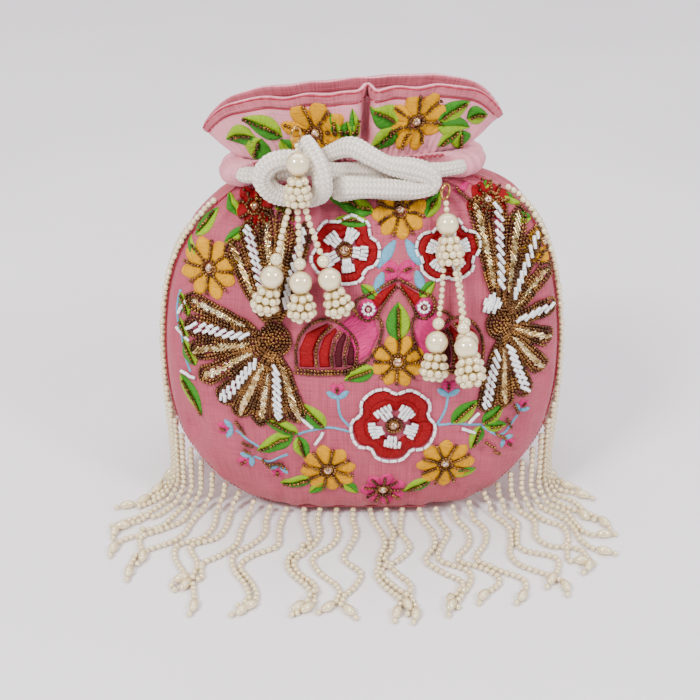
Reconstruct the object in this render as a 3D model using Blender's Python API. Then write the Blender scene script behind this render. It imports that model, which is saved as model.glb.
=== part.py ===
"""Potli bag: a soft, drawn-up pouch of embroidered silk with a pleated ruffle, a knitted
drawstring tied in front, two pearl tassels and a beaded fringe sewn into the front seam.

Frame: metres, +Z up. The origin is the middle of the flat base. The embroidered front faces -Y
and +X is on the viewer's right. Lengths below are in millimetres unless a name says otherwise.
"""
import math

import bpy
import numpy as np

MM = 0.001

# ---- driving dimensions (mm) -------------------------------------------------------------
# Seam outline, base to neck: height, half width, half depth at the seam, belly beyond the seam,
# sideways shift of the centre.
PROFILE = np.array([
    (5.0, 34.0, 44.0, 0.0, 0.0),
    (5.7, 43.0, 44.0, 3.8, 0.0),
    (8.0, 52.5, 43.6, 7.2, 0.0),
    (12.5, 62.0, 43.0, 10.2, 0.0),
    (20.0, 72.0, 41.8, 13.3, 0.0),
    (31.0, 82.0, 39.6, 17.0, 0.0),
    (46.0, 91.0, 37.0, 20.5, 0.0),
    (63.0, 96.0, 33.0, 23.5, 0.0),
    (82.0, 98.0, 29.0, 25.5, 0.0),
    (102.0, 97.5, 24.5, 26.0, 0.0),
    (122.0, 94.5, 20.0, 24.0, 0.0),
    (138.0, 89.5, 16.5, 20.0, 0.0),
    (151.0, 82.0, 13.5, 15.0, 0.0),
    (161.0, 73.0, 10.5, 10.5, -0.5),
    (168.0, 63.0, 8.0, 7.0, -2.0),
    (172.0, 54.5, 6.5, 5.5, -4.5),
])
BASE_DROP = 5.0           # the base hangs this far below the lowest seam
BASE_FLAT = 0.75          # share of the base's depth that is flat
BASE_RISE = 63.0          # height at which the gusset is level with the seam
LEAN = 0.05               # rise of the neck per mm towards +X
LEAN_FROM, LEAN_TO = 110.0, 172.0

PANEL_THICK = 1.6
LINING_GAP = 0.35
LINING_THICK = 0.6
GAP = 0.35
PANEL_COLS = 13           # points across a panel, seam to seam
BAND_SHARES = (-1.0, -0.94, -0.87, -BASE_FLAT, 0.0, BASE_FLAT, 0.87, 0.94, 1.0)

CASING_LOW, CASING_HIGH = 172.4, 184.0
CASING_SECTIONS = (       # height, half width, half depth
    (CASING_LOW, 54.0, 12.0), (175.5, 53.0, 11.0), (180.5, 53.0, 11.0), (CASING_HIGH, 54.0, 11.8),
)
CASING_THICK = 1.4
NECK_X = -5.0             # centre of the neck
NECK_BOXINESS = 0.6       # 1 is an ellipse, less is boxier
RUFFLE_THICK = 1.3
RUFFLE_HEIGHT = 33.0
RUFFLE_CORNER_DROP = 17.0
RUFFLE_HALF = (53.0, 71.0)  # half width at the casing and at the rim
RUFFLE_PLEATS = 7
PLEAT_DEPTH = 1.6
RUFFLE_EDGE, RUFFLE_BULGE = 2.3, 9.5     # half depth at the corners, and what the middle adds
FRONT_FLARE, BACK_FLARE = 2.5, -7.0      # change of half depth from the casing to the rim
FOLD_U, FOLD_WIDTH, FOLD_DEPTH = 0.1, 0.055, 8.0

CORD_D = 7.0
CORD_POINTS = 78

STRAND_T = 2.4            # thickness of one bead strand
STRAND_LENGTH = 94.0
STRAND_PITCH = 8.6
STRANDS_PER_TRIM = 5
STRAND_ROWS = 10
TRIM_HEADER = 2.5         # height of the stitched header that holds a trim's strands
STRAND_WAVE = (6.0, 48.0)   # sideways swing and wavelength of a strand lying on the floor
FRONT_SPLAY, SIDE_SPLAY = 14.0, 54.0   # degrees a strand turns sideways on the floor
SLIDE_BACK = 0.24         # backward slide over the gusset per mm of seam height
SLIDE_FROM_Z, SLIDE_END_Z = 44.0, 25.0
STRAND_OFF = STRAND_T / 2 + 0.9   # strand centreline off the cloth
WIDEST_Z = 82.0
LOW_SEAM = 12.0           # strands sewn lower than this lie down straight from the seam
HEADER_DROP = 2.2
HANG_SHARES = (0.3, 0.6, 0.85)
HANG_LEAN = 2.0           # how far a hanging strand stands off at its foot
FOOT_RISE, FOOT_OUT = 5.0, 1.5           # where a strand starts to turn onto the floor
FLOOR_OUT = {"hanging": 6.0, "low": 9.0}
FLOOR_STEP, FLOOR_STEPS = 10.0, 12
SPLAY_HEIGHT = 100.0      # seam height above the base at which the side splay is full
SLIDE_IN = 14.0           # run over which a shoulder strand turns flat on the gusset
LIE_HEIGHT = 20.0         # height over which a strand turns to lie flat on the floor

TASSELS = {
    # ring centre, large pearl, cluster top and bottom, then cup centres of the three pendants
    "left": dict(ring=(-30.5, -27.2, 202.0), pearl=(-29.6, -35.2, 191.0),
                 cluster=((-29.6, -38.2, 185.0), (-30.0, -39.6, 173.2)),
                 cups=((-45.5, -49.0, 128.5), (-28.6, -52.0, 126.5), (-11.8, -52.2, 129.0))),
    "right": dict(ring=(38.5, -25.6, 173.5), pearl=(39.6, -32.0, 159.8),
                  cluster=((40.2, -36.0, 154.4), (41.2, -40.6, 143.4)),
                  cups=((34.0, -60.6, 99.0), (51.0, -59.0, 98.5), (49.2, -74.4, 104.6))),
}
RING_R, RING_WIRE = 3.4, 0.8
BEAD_R, LARGE_R, MEDIUM_R, BALL_R = 1.5, 5.4, 2.9, 5.6
CLUSTER_R = (4.6, 6.6)
CUP_R, CUP_HEIGHT = (5.0, 7.3), 11.5
CUP_AXIS_GAP = 0.4
STRAND_DROP = 1.8          # clear space between a cluster and the strands below it
PEARL_GAP = 0.3            # thread seen between two pearls
PENDANT_OFFSETS = {        # where each pendant's thread leaves the cluster
    "left": ((-3.6, 0.0, 0.0), (0.0, 0.0, 0.0), (3.6, 0.0, 0.0)),
    "right": ((-3.4, 1.0, 0.0), (3.2, 2.2, 0.0), (1.6, -3.4, 0.0)),
}

MATERIALS = {
    # base colour, roughness, metallic
    "silk": ((0.72, 0.42, 0.46), 0.6, 0.0),
    "lining": ((0.62, 0.34, 0.38), 0.7, 0.0),
    "cotton": ((0.78, 0.74, 0.68), 0.9, 0.0),
    "pearl": ((0.88, 0.80, 0.62), 0.25, 0.0),
    "gold": ((0.80, 0.58, 0.25), 0.25, 1.0),
}


# ---- helpers -----------------------------------------------------------------------------
def clear_scene():
    for obj in list(bpy.data.objects):
        bpy.data.objects.remove(obj, do_unlink=True)


def material(name):
    mat = bpy.data.materials.get(name)
    if mat is None:
        colour, roughness, metallic = MATERIALS[name]
        mat = bpy.data.materials.new(name)
        mat.use_nodes = True
        shader = mat.node_tree.nodes["Principled BSDF"]
        shader.inputs["Base Color"].default_value = (*colour, 1.0)
        shader.inputs["Roughness"].default_value = roughness
        shader.inputs["Metallic"].default_value = metallic
    return mat


def add_object(name, points_mm, faces, mat, origin_mm=(0, 0, 0), smooth=True):
    """A mesh object whose origin sits at origin_mm."""
    origin = np.asarray(origin_mm, float)
    verts = (np.asarray(points_mm, float) - origin) * MM
    mesh = bpy.data.meshes.new(name)
    mesh.from_pydata([tuple(v) for v in verts], [], [tuple(f) for f in faces])
    mesh.validate()
    if smooth:
        mesh.shade_smooth()
        mesh.set_sharp_from_angle(angle=math.radians(50))
    obj = bpy.data.objects.new(name, mesh)
    obj.location = origin * MM
    obj.data.materials.append(material(mat))
    bpy.context.scene.collection.objects.link(obj)
    return obj


def catmull(points, count):
    """Evenly spaced points on a smooth curve through the given ones."""
    pts = np.asarray(points, float)
    ext = np.vstack([2 * pts[0] - pts[1], pts, 2 * pts[-1] - pts[-2]])
    dense = []
    for a, b, c, d in zip(ext[:-3], ext[1:-2], ext[2:-1], ext[3:]):
        for t in np.linspace(0, 1, 24, endpoint=False):
            dense.append(0.5 * (2 * b + (c - a) * t + (2 * a - 5 * b + 4 * c - d) * t ** 2
                                + (3 * b - a - 3 * c + d) * t ** 3))
    dense = np.array(dense + [pts[-1]])
    run = np.concatenate([[0], np.cumsum(np.linalg.norm(np.diff(dense, axis=0), axis=1))])
    at = np.linspace(0, run[-1], count)
    return np.stack([np.interp(at, run, dense[:, k]) for k in range(dense.shape[1])], 1)


def unit(vectors):
    vectors = np.asarray(vectors, float)
    return vectors / np.linalg.norm(vectors, axis=-1, keepdims=True)


def smooth_step(share):
    share = np.clip(share, 0, 1)
    return share * share * (3 - 2 * share)


def lean(points):
    """Tilt the neck: points rise in proportion to X, fading out below the shoulders."""
    out = np.array(points, float)
    out[..., 2] += LEAN * out[..., 0] * smooth_step((out[..., 2] - LEAN_FROM)
                                                    / (LEAN_TO - LEAN_FROM))
    return out


def thick_cells(top, bottom, quads):
    """Close two matching point sets into one solid: cells on both sides, walls on open edges."""
    count = len(top)
    faces = [tuple(q) for q in quads]
    faces += [tuple(count + i for i in reversed(q)) for q in quads]
    edges = {}
    for quad in quads:
        for a, b in zip(quad, quad[1:] + quad[:1]):
            edges[(a, b)] = edges.get((a, b), 0) + 1
    for a, b in edges:
        if (b, a) not in edges:
            faces.append((b, a, count + a, count + b))
    return np.vstack([top, bottom]), faces


def grid_quads(rows, cols, wrap=False):
    """Quads of a row-by-column grid, wound so that (row, column, outward) is right-handed."""
    last = cols if wrap else cols - 1
    return [(r * cols + c, r * cols + (c + 1) % cols, (r + 1) * cols + (c + 1) % cols,
             (r + 1) * cols + c) for r in range(rows - 1) for c in range(last)]


def turned(axis_from, axis_to, profile, segments=12):
    """A solid of revolution: profile holds (share of the axis, radius), radius 0 at both ends."""
    start, end = np.asarray(axis_from, float), np.asarray(axis_to, float)
    along = unit(end - start)
    side = unit(np.cross(along, (0.31, 0.95, 0.0)))
    other = np.cross(along, side)
    points, faces = [start + (end - start) * profile[0][0]], []
    for share, radius in profile[1:-1]:
        for k in range(segments):
            angle = math.tau * k / segments
            ring = radius * (math.cos(angle) * side + math.sin(angle) * other)
            points.append(start + (end - start) * share + ring)
    points.append(start + (end - start) * profile[-1][0])
    rings = len(profile) - 2
    for k in range(segments):
        n = (k + 1) % segments
        faces.append((0, 1 + n, 1 + k))
        last = 1 + (rings - 1) * segments
        faces.append((len(points) - 1, last + k, last + n))
    for r in range(rings - 1):
        a, b = 1 + r * segments, 1 + (r + 1) * segments
        for k in range(segments):
            n = (k + 1) % segments
            faces.append((a + k, a + n, b + n, b + k))
    return np.array(points), faces


def ball_profile(rings):
    return [((1 - math.cos(math.pi * i / rings)) / 2, math.sin(math.pi * i / rings))
            for i in range(rings + 1)]


# ---- pouch surfaces ----------------------------------------------------------------------
def outline_normals(rows=PROFILE):
    """Outward normals (x, z) of the right-hand seam outline, one per row."""
    step = np.gradient(rows[:, [1, 0]], axis=0)
    normals = unit(np.stack([step[:, 1], -step[:, 0]], 1))
    normals[0] = (0.0, -1.0)
    return normals


def belly(row_values, angle):
    """Front surface point at a profile row; angle runs -90..90 degrees from seam to seam."""
    z, half, seam, bulge, shift = row_values
    return np.array([shift + half * math.sin(angle), -(seam + bulge * math.cos(angle)), z])


def belly_grid(cols, depth):
    """Front surface pushed inward by depth along its normals."""
    angles = np.linspace(-math.pi / 2, math.pi / 2, cols)
    outer = np.array([[belly(row, a) for a in angles] for row in PROFILE])
    across = np.gradient(outer, axis=1)
    up = np.gradient(outer, axis=0)
    normals = unit(np.cross(across, up))
    edge = outline_normals()
    for col, side in ((0, -1), (-1, 1)):
        normals[:, col] = np.stack([side * edge[:, 0], np.zeros(len(edge)), edge[:, 1]], 1)
    normals[0, 1:-1] = (0, 0, -1)
    return outer - normals * depth


def pouch_panel(name, facing):
    """Embroidered front (facing 1) or plain back (facing -1)."""
    outer = lean(belly_grid(PANEL_COLS, 0.0)).reshape(-1, 3)
    inner = lean(belly_grid(PANEL_COLS, PANEL_THICK)).reshape(-1, 3)
    quads = grid_quads(len(PROFILE), PANEL_COLS)
    points, faces = thick_cells(outer, inner, quads)
    if facing < 0:
        points = points * (1, -1, 1)
        faces = [tuple(reversed(f)) for f in faces]
    add_object(name, points, faces, "silk")


def side_band():
    """Gusset and base in one strip, from the left shoulder under the pouch to the right."""
    normals = outline_normals()
    drop = BASE_DROP * (1 - smooth_step(PROFILE[:, 0] / BASE_RISE)) / (
        1 - smooth_step(PROFILE[0, 0] / BASE_RISE))
    right = np.stack([PROFILE[:, 4] + PROFILE[:, 1], PROFILE[:, 2] - GAP, PROFILE[:, 0]], 1)
    left = right * (-1, 1, 1) + np.outer(2 * PROFILE[:, 4], (1, 0, 0))
    seam = np.vstack([left[::-1], right])
    out = np.vstack([normals[::-1] * (-1, 1), normals])
    lift = np.concatenate([drop[::-1], drop])

    def layer(depth):
        points = []
        for (x, half, z), (nx, nz), down in zip(seam, out, lift):
            for share in BAND_SHARES:
                curl = max(0.0, (abs(share) - BASE_FLAT) / (1 - BASE_FLAT)) ** 2
                fall = down * (1 - curl) - depth
                points.append((x + nx * fall, share * half, z + nz * fall))
        return lean(np.array(points))

    quads = grid_quads(len(seam), len(BAND_SHARES))
    points, faces = thick_cells(layer(0.0), layer(PANEL_THICK), quads)
    add_object("side_band", points, faces, "silk")


def lining():
    """Inner bag: two nested cups joined at the top edge."""
    layers = []
    for depth in (PANEL_THICK + LINING_GAP, PANEL_THICK + LINING_GAP + LINING_THICK):
        front = belly_grid(PANEL_COLS, depth)[:-1]
        back = front[:, ::-1] * (1, -1, 1)
        ring = np.concatenate([front, back], axis=1)
        layers.append(lean(ring))
    rows, around = layers[0].shape[:2]
    quads = grid_quads(rows, around, wrap=True)
    floor = [(around - 1 - c, around - 2 - c, c + 1, c) for c in range(PANEL_COLS - 1)]
    points, faces = thick_cells(layers[0].reshape(-1, 3), layers[1].reshape(-1, 3), quads + floor)
    add_object("lining", points, faces, "lining")


def neck_section(z, half, depth, count=32):
    """Rounded, boxy loop round the neck."""
    turns = np.linspace(0, math.tau, count, endpoint=False)
    x = NECK_X + half * np.sin(turns)
    y = -depth * np.sign(np.cos(turns)) * np.abs(np.cos(turns)) ** NECK_BOXINESS
    return np.stack([x, y, np.full(count, z)], 1)


def casing():
    """Drawstring channel: a stitched band round the neck."""
    outer = np.array([neck_section(z, w, d) for z, w, d in CASING_SECTIONS])
    inner = np.array([neck_section(z, w - CASING_THICK, d - CASING_THICK)
                      for z, w, d in CASING_SECTIONS])
    quads = grid_quads(*outer.shape[:2], wrap=True)
    points, faces = thick_cells(lean(outer).reshape(-1, 3), lean(inner).reshape(-1, 3), quads)
    add_object("casing", points, faces, "silk")


def ruffle(name, facing):
    """Pleated, flared collar above the casing; the front one has a deep fold near its middle."""
    cols, rows = 43, 5
    points = []
    for layer in (0.0, RUFFLE_THICK):
        for v in np.linspace(0, 1, rows):
            for u in np.linspace(-1, 1, cols):
                half = RUFFLE_HALF[0] + (RUFFLE_HALF[1] - RUFFLE_HALF[0]) * v ** 0.9
                rise = RUFFLE_HEIGHT - RUFFLE_CORNER_DROP * abs(u) ** 7
                flat = 1 - abs(u) ** 3
                depth = RUFFLE_EDGE + RUFFLE_BULGE * flat
                wave = PLEAT_DEPTH * v * flat * math.cos(math.tau * RUFFLE_PLEATS * (u + 1) / 2)
                if facing > 0:
                    depth += FRONT_FLARE * v * flat + wave
                    depth -= FOLD_DEPTH * v * math.exp(-((u - FOLD_U) / FOLD_WIDTH) ** 2)
                else:
                    depth += BACK_FLARE * v * flat - wave / 2
                points.append((NECK_X + half * u, -(depth - layer),
                               CASING_HIGH + GAP + rise * v))
    half_count = rows * cols
    points = lean(np.array(points))
    solid, faces = thick_cells(points[:half_count], points[half_count:], grid_quads(rows, cols))
    if facing < 0:
        solid = solid * (1, -1, 1)
        faces = [tuple(reversed(f)) for f in faces]
    add_object(name, solid, faces, "silk")


# ---- drawstring --------------------------------------------------------------------------
DRAWSTRING_ROUTE = (
    # left end, down the wrap of the knot
    (-28.0, -21.6, 197.5), (-24.5, -26.0, 194.0), (-20.5, -31.0, 188.5), (-18.6, -33.2, 181.5),
    (-19.5, -31.0, 174.8), (-25.0, -26.6, 170.6),
    # left bight
    (-34.0, -23.8, 169.6), (-42.5, -23.4, 172.6), (-46.6, -23.4, 179.5), (-42.5, -23.8, 186.6),
    (-34.0, -24.4, 189.0), (-25.0, -24.6, 186.6), (-16.0, -22.6, 182.8),
    # right arm, back to the neck
    (-6.0, -18.0, 180.2), (8.0, -16.4, 179.6), (24.0, -16.2, 180.0), (38.0, -15.4, 180.4),
    (48.5, -10.0, 180.8), (53.2, 0.0, 180.8), (48.5, 10.0, 180.6), (36.0, 15.6, 180.2),
    (12.0, 16.2, 179.2), (-14.0, 16.2, 178.0), (-40.0, 15.8, 176.8), (-55.0, 12.2, 176.0),
    (-63.0, 0.0, 175.6), (-57.0, -11.4, 176.2),
    # left arm behind the bight, then up over the arch
    (-44.0, -15.4, 178.0), (-33.0, -16.2, 180.0), (-22.0, -16.6, 184.5), (-13.5, -17.6, 190.2),
    (-5.0, -21.4, 193.8), (4.0, -25.2, 190.6), (12.0, -26.0, 186.8),
    # right loop out and back
    (22.0, -25.6, 184.6), (30.5, -25.2, 181.4), (32.2, -25.2, 177.2), (26.0, -26.0, 174.6),
    (14.0, -26.6, 175.6), (2.0, -26.8, 176.2), (-7.0, -25.4, 175.6), (-11.4, -21.6, 172.6),
    (-7.0, -18.8, 170.8),
    # lower strand to the right end
    (4.0, -18.8, 171.0), (16.0, -19.0, 171.4), (27.0, -19.6, 173.0), (36.0, -20.6, 176.0),
)


def drawstring():
    points = catmull(DRAWSTRING_ROUTE, CORD_POINTS) * MM
    curve = bpy.data.curves.new("drawstring", "CURVE")
    curve.dimensions = "3D"
    curve.bevel_depth = CORD_D / 2 * MM
    curve.bevel_resolution = 2
    curve.use_fill_caps = True
    spline = curve.splines.new("POLY")
    spline.points.add(len(points) - 1)
    for point, place in zip(spline.points, points):
        point.co = (*place, 1.0)
    curve.materials.append(material("cotton"))
    obj = bpy.data.objects.new("drawstring", curve)
    bpy.context.scene.collection.objects.link(obj)


# ---- tassels -----------------------------------------------------------------------------
def pearl(name, centre, radius, along, segments, rings, parent):
    half = unit(along) * radius
    profile = [(share, size * radius) for share, size in ball_profile(rings)]
    points, faces = turned(np.asarray(centre) - half, np.asarray(centre) + half, profile, segments)
    hang(add_object(name, points, faces, "pearl", centre), parent)


def hang(obj, parent):
    """Parent without moving."""
    offset = obj.location.copy()
    obj.parent = parent
    obj.location = offset - parent.location


def pivot(name, place_mm):
    empty = bpy.data.objects.new(name, None)
    empty.location = np.asarray(place_mm, float) * MM
    bpy.context.scene.collection.objects.link(empty)
    return empty


def ring(name, centre, parent):
    """Wire ring in the YZ plane, so the tassel swings on it towards the viewer."""
    major_steps, minor_steps = 16, 6
    points, faces = [], []
    for i in range(major_steps):
        a = math.tau * i / major_steps
        for j in range(minor_steps):
            b = math.tau * j / minor_steps
            reach = RING_R + RING_WIRE * math.cos(b)
            points.append((centre[0] + RING_WIRE * math.sin(b), centre[1] + reach * math.cos(a),
                           centre[2] + reach * math.sin(a)))
    for i in range(major_steps):
        for j in range(minor_steps):
            n, m = (i + 1) % major_steps, (j + 1) % minor_steps
            faces.append((i * minor_steps + j, n * minor_steps + j, n * minor_steps + m,
                          i * minor_steps + m))
    hang(add_object(name, points, faces, "gold", centre), parent)


def tassel(side, spec):
    centre = np.array(spec["ring"])
    hinge = pivot(f"pivot_{side}", centre + (0, 0, RING_R))
    ring(f"tassel_{side}_ring", centre, hinge)
    large = np.array(spec["pearl"])
    low_ring = centre + unit(large - centre) * (RING_R + RING_WIRE)
    chain = unit(large - low_ring)
    for k in range(2):
        place = low_ring + chain * (BEAD_R + 0.4 + k * (2 * BEAD_R + 0.3))
        if np.linalg.norm(large - place) > LARGE_R + BEAD_R + 0.2:
            pearl(f"tassel_{side}_bead_{k + 1}", place, BEAD_R, chain, 8, 5, hinge)
    pearl(f"tassel_{side}_pearl", large, LARGE_R, chain, 12, 8, hinge)
    top, bottom = (np.array(p) for p in spec["cluster"])
    top_r, low_r = CLUSTER_R
    cluster = [(0.0, 0.0), (0.0, top_r * 0.8), (0.12, top_r), (0.6, low_r), (0.9, low_r),
               (1.0, low_r * 0.7), (1.0, 0.0)]
    points, faces = turned(top, bottom, cluster)
    hang(add_object(f"tassel_{side}_cluster", points, faces, "pearl", top), hinge)
    for number, cup in enumerate(spec["cups"], 1):
        pendant(side, number, top, bottom, np.array(cup))


def pendant(side, number, cluster_top, cluster_bottom, cup):
    """Strand, two pearls and a flared cup on one thread below the cluster."""
    name = f"tassel_{side}_{{}}_{number}".format
    start = (cluster_bottom + unit(cluster_bottom - cluster_top) * STRAND_DROP
             + PENDANT_OFFSETS[side][number - 1])
    along = unit(cup - start)
    hinge = pivot(name("pivot"), start)
    low_r, high_r = CUP_R[1], CUP_R[0]
    cup_top = cup - along * CUP_HEIGHT / 2
    ball = cup_top - along * (BALL_R + CUP_AXIS_GAP)
    medium = ball - along * (BALL_R + MEDIUM_R + PEARL_GAP)
    strand_end = medium - along * (MEDIUM_R + PEARL_GAP)
    rod = [(0.0, 0.0), (0.0, BEAD_R), (0.5, BEAD_R), (1.0, BEAD_R), (1.0, 0.0)]
    points, faces = turned(start, strand_end, rod, 8)
    hang(add_object(name("strand"), points, faces, "pearl", start), hinge)
    pearl(name("medium"), medium, MEDIUM_R, along, 8, 6, hinge)
    pearl(name("ball"), ball, BALL_R, along, 12, 8, hinge)
    cup_shape = [(0.0, 0.0), (0.0, high_r * 0.8), (0.15, high_r), (0.85, low_r),
                 (1.0, low_r * 0.85), (1.0, 0.0)]
    points, faces = turned(cup_top, cup + along * CUP_HEIGHT / 2, cup_shape)
    hang(add_object(name("cup"), points, faces, "pearl", cup_top), hinge)


# ---- fringe ------------------------------------------------------------------------------
def seam_samples():
    """Evenly pitched places along the front seam, left neck to right neck."""
    normals = outline_normals()
    fine = catmull(np.hstack([PROFILE, normals]), 400)
    fine[:, 0] = np.maximum(fine[:, 0], PROFILE[0, 0])
    flat = np.array([[*PROFILE[0, [0]], x, *PROFILE[0, 2:], 0.0, -1.0]
                     for x in np.linspace(0.0, PROFILE[0, 1], 30, endpoint=False)])
    half = np.vstack([flat, fine])[:-12]
    run = np.concatenate([[0], np.cumsum(np.linalg.norm(np.diff(half[:, :2], axis=0), axis=1))])
    per_side = int(run[-1] / STRAND_PITCH)
    at = (np.arange(per_side) + 0.5) * STRAND_PITCH
    side = np.stack([np.interp(at, run, half[:, k]) for k in range(half.shape[1])], 1)
    return [(-1, s) for s in side[::-1]] + [(1, s) for s in side]


def slide(sample, height):
    """Y of a strand at some height: it drifts back over the gusset as it falls."""
    z, _, seam = sample[:3]
    back = SLIDE_BACK * max(0.0, z - SLIDE_FROM_Z)
    return back * min(1.0, (z - height) / max(z - SLIDE_END_Z, 1.0)) - seam


def shoulder_route(sample):
    """Places along the gusset that a strand slides over before it hangs free."""
    z = sample[0]
    rows = catmull(np.hstack([PROFILE, outline_normals()]), 60)
    lower = rows[(rows[:, 0] < z - 4.0) & (rows[:, 0] > WIDEST_Z + 2.0)][::-5]
    return [np.array([row[4] + row[1] + row[5] * STRAND_OFF, slide(sample, row[0]),
                      row[0] + row[6] * STRAND_OFF]) for row in lower]


def strand_path(side, sample):
    """Centreline and width direction of one strand: off the seam, down, then out on the floor."""
    z, half, seam, _, shift, nx, nz = sample
    shift, sample = shift * side, np.concatenate([sample[:4], [shift * side], sample[5:]])
    low = max(0.0, 1 - (z - PROFILE[0, 0]) / LOW_SEAM)
    hanging = z > LOW_SEAM
    floor = STRAND_T / 2 + 0.2
    route = [np.array([shift + half + nx * STRAND_OFF, -seam - HEADER_DROP * low,
                       z + nz * STRAND_OFF * (1 - low * 0.35)])]
    if z > WIDEST_Z:
        route += shoulder_route(sample)
        hang_z = WIDEST_Z - 2.0
        route.append(np.array([PROFILE[:, 1].max() + STRAND_OFF, slide(sample, hang_z), hang_z]))
    side_share = np.clip((z - PROFILE[0, 0]) / SPLAY_HEIGHT, 0, 1) ** 0.8
    front_share = min(1.0, half / PROFILE[2, 1])
    angle = math.radians(90.0 - FRONT_SPLAY * front_share - SIDE_SPLAY * side_share)
    out = np.array([math.cos(angle), -math.sin(angle), 0.0])
    across = np.array([math.sin(angle), math.cos(angle), 0.0])
    last = route[-1]
    if hanging:
        foot = floor + FOOT_RISE
        for share in HANG_SHARES:
            height = last[2] + (foot - last[2]) * share
            route.append(np.array([last[0] + 0.75 * HANG_LEAN * share, slide(sample, height),
                                   height]))
        route.append(np.array([last[0] + HANG_LEAN, slide(sample, foot), foot]) + out * FOOT_OUT)
    foot = (route[-1] * (1, 1, 0) + (0, 0, floor)
            + out * FLOOR_OUT["hanging" if hanging else "low"])
    swing, wavelength = STRAND_WAVE
    for step in range(FLOOR_STEPS):
        run = FLOOR_STEP * step
        wave = swing * min(1.0, run / wavelength) * math.sin(math.tau * run / wavelength) * side
        route.append(foot + out * run + across * wave)
    centre = catmull(route, 300)
    run = np.concatenate([[0], np.cumsum(np.linalg.norm(np.diff(centre, axis=0), axis=1))])
    at = np.concatenate([[0], np.linspace(TRIM_HEADER, STRAND_LENGTH, STRAND_ROWS - 1)])
    centre = np.stack([np.interp(at, run, centre[:, k]) for k in range(3)], 1)
    centre[:, 2] = np.maximum(centre[:, 2], floor)
    along_seam = np.array([-nz, 0.0, nx]) if hanging else np.array([1.0, 0.0, 0.0])
    widths = []
    for place in centre:
        slid = min(1.0, np.linalg.norm(place - centre[0]) / SLIDE_IN) if z > WIDEST_Z else 1.0
        lying = np.clip(1 - (place[2] - floor) / LIE_HEIGHT, 0, 1)
        upper = along_seam * (1 - slid) + np.array([0.0, -1.0, 0.0]) * slid
        widths.append(upper * (1 - lying) + across * (-1, -1, 1) * lying)
    mirror = np.array([side, 1, 1])
    return centre * mirror, unit(np.array(widths)) * mirror * side


def fringe():
    """Beaded trim in lengths: a header along the seam with one finger per strand."""
    samples = seam_samples()
    for number, first in enumerate(range(0, len(samples), STRANDS_PER_TRIM), 1):
        group = samples[first:first + STRANDS_PER_TRIM]
        tops, bottoms, quads = [], [], []
        for place, (side, sample) in enumerate(group):
            centre, width = strand_path(side, sample)
            along = unit(np.gradient(centre, axis=0))
            width = unit(width - along * np.sum(width * along, axis=1, keepdims=True))
            normal = np.cross(width, along) * -1.0
            base = place * STRAND_ROWS * 2
            for row in range(STRAND_ROWS):
                for edge in (-1, 1):
                    middle = centre[row] + width[row] * edge * STRAND_T / 2
                    tops.append(middle + normal[row] * STRAND_T / 2)
                    bottoms.append(middle - normal[row] * STRAND_T / 2)
                if row:
                    a = base + (row - 1) * 2
                    quads.append((a, a + 2, a + 3, a + 1))
            if place:
                a = base - STRAND_ROWS * 2 + 1
                quads.append((a, a + 2, base + 2, base))
        points, faces = thick_cells(lean(np.array(tops)), lean(np.array(bottoms)), quads)
        add_object(f"fringe_{number:02d}", points, faces, "pearl", smooth=False)


def main():
    clear_scene()
    pouch_panel("front_panel", 1)
    pouch_panel("back_panel", -1)
    side_band()
    lining()
    casing()
    ruffle("ruffle_front", 1)
    ruffle("ruffle_back", -1)
    drawstring()
    for side, spec in TASSELS.items():
        tassel(side, spec)
    fringe()


main()
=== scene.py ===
"""Looks of the potli bag: silk panels, embroidery in thread and beads, knitted drawstring,
pearl tassels and the beaded fringe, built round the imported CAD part.

Lengths are in millimetres in the row frame (origin at the middle of the base, front towards
-Y); Mesh.build turns them into metres.
"""
import math

import bpy
import numpy as np
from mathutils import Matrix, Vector


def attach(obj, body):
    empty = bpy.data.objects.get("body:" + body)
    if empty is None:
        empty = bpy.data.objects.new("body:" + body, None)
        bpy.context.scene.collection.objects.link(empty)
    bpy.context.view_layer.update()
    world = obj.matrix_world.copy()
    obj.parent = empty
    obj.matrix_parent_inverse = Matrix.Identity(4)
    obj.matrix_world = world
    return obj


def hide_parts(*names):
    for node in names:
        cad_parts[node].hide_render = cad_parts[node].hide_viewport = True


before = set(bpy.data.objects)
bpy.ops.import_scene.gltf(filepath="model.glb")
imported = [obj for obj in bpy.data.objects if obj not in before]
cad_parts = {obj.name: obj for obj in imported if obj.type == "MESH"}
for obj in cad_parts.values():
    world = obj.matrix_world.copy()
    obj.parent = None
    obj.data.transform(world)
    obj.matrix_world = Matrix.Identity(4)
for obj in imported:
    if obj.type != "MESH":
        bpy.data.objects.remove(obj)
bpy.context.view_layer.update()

MM = 0.001
RNG = np.random.default_rng(11)

# ---- shape of the pouch --------------------------------------------------------------------
# Seam outline, base to neck: height, half width, half depth at the seam, belly beyond the seam,
# sideways shift of the centre.
PROFILE = np.array([
    (5.0, 34.0, 44.0, 0.0, 0.0), (5.7, 43.0, 44.0, 3.8, 0.0), (8.0, 52.5, 43.6, 7.2, 0.0),
    (12.5, 62.0, 43.0, 10.2, 0.0), (20.0, 72.0, 41.8, 13.3, 0.0), (31.0, 82.0, 39.6, 17.0, 0.0),
    (46.0, 91.0, 37.0, 20.5, 0.0), (63.0, 96.0, 33.0, 23.5, 0.0), (82.0, 98.0, 29.0, 25.5, 0.0),
    (102.0, 97.5, 24.5, 26.0, 0.0), (122.0, 94.5, 20.0, 24.0, 0.0), (138.0, 89.5, 16.5, 20.0, 0.0),
    (151.0, 82.0, 13.5, 15.0, 0.0), (161.0, 73.0, 10.5, 10.5, -0.5), (168.0, 63.0, 8.0, 7.0, -2.0),
    (172.0, 54.5, 6.5, 5.5, -4.5),
])
BASE_DROP, BASE_FLAT, BASE_RISE = 5.0, 0.75, 63.0
PANEL_THICK, BAND_THICK = 1.1, 1.2
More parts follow.
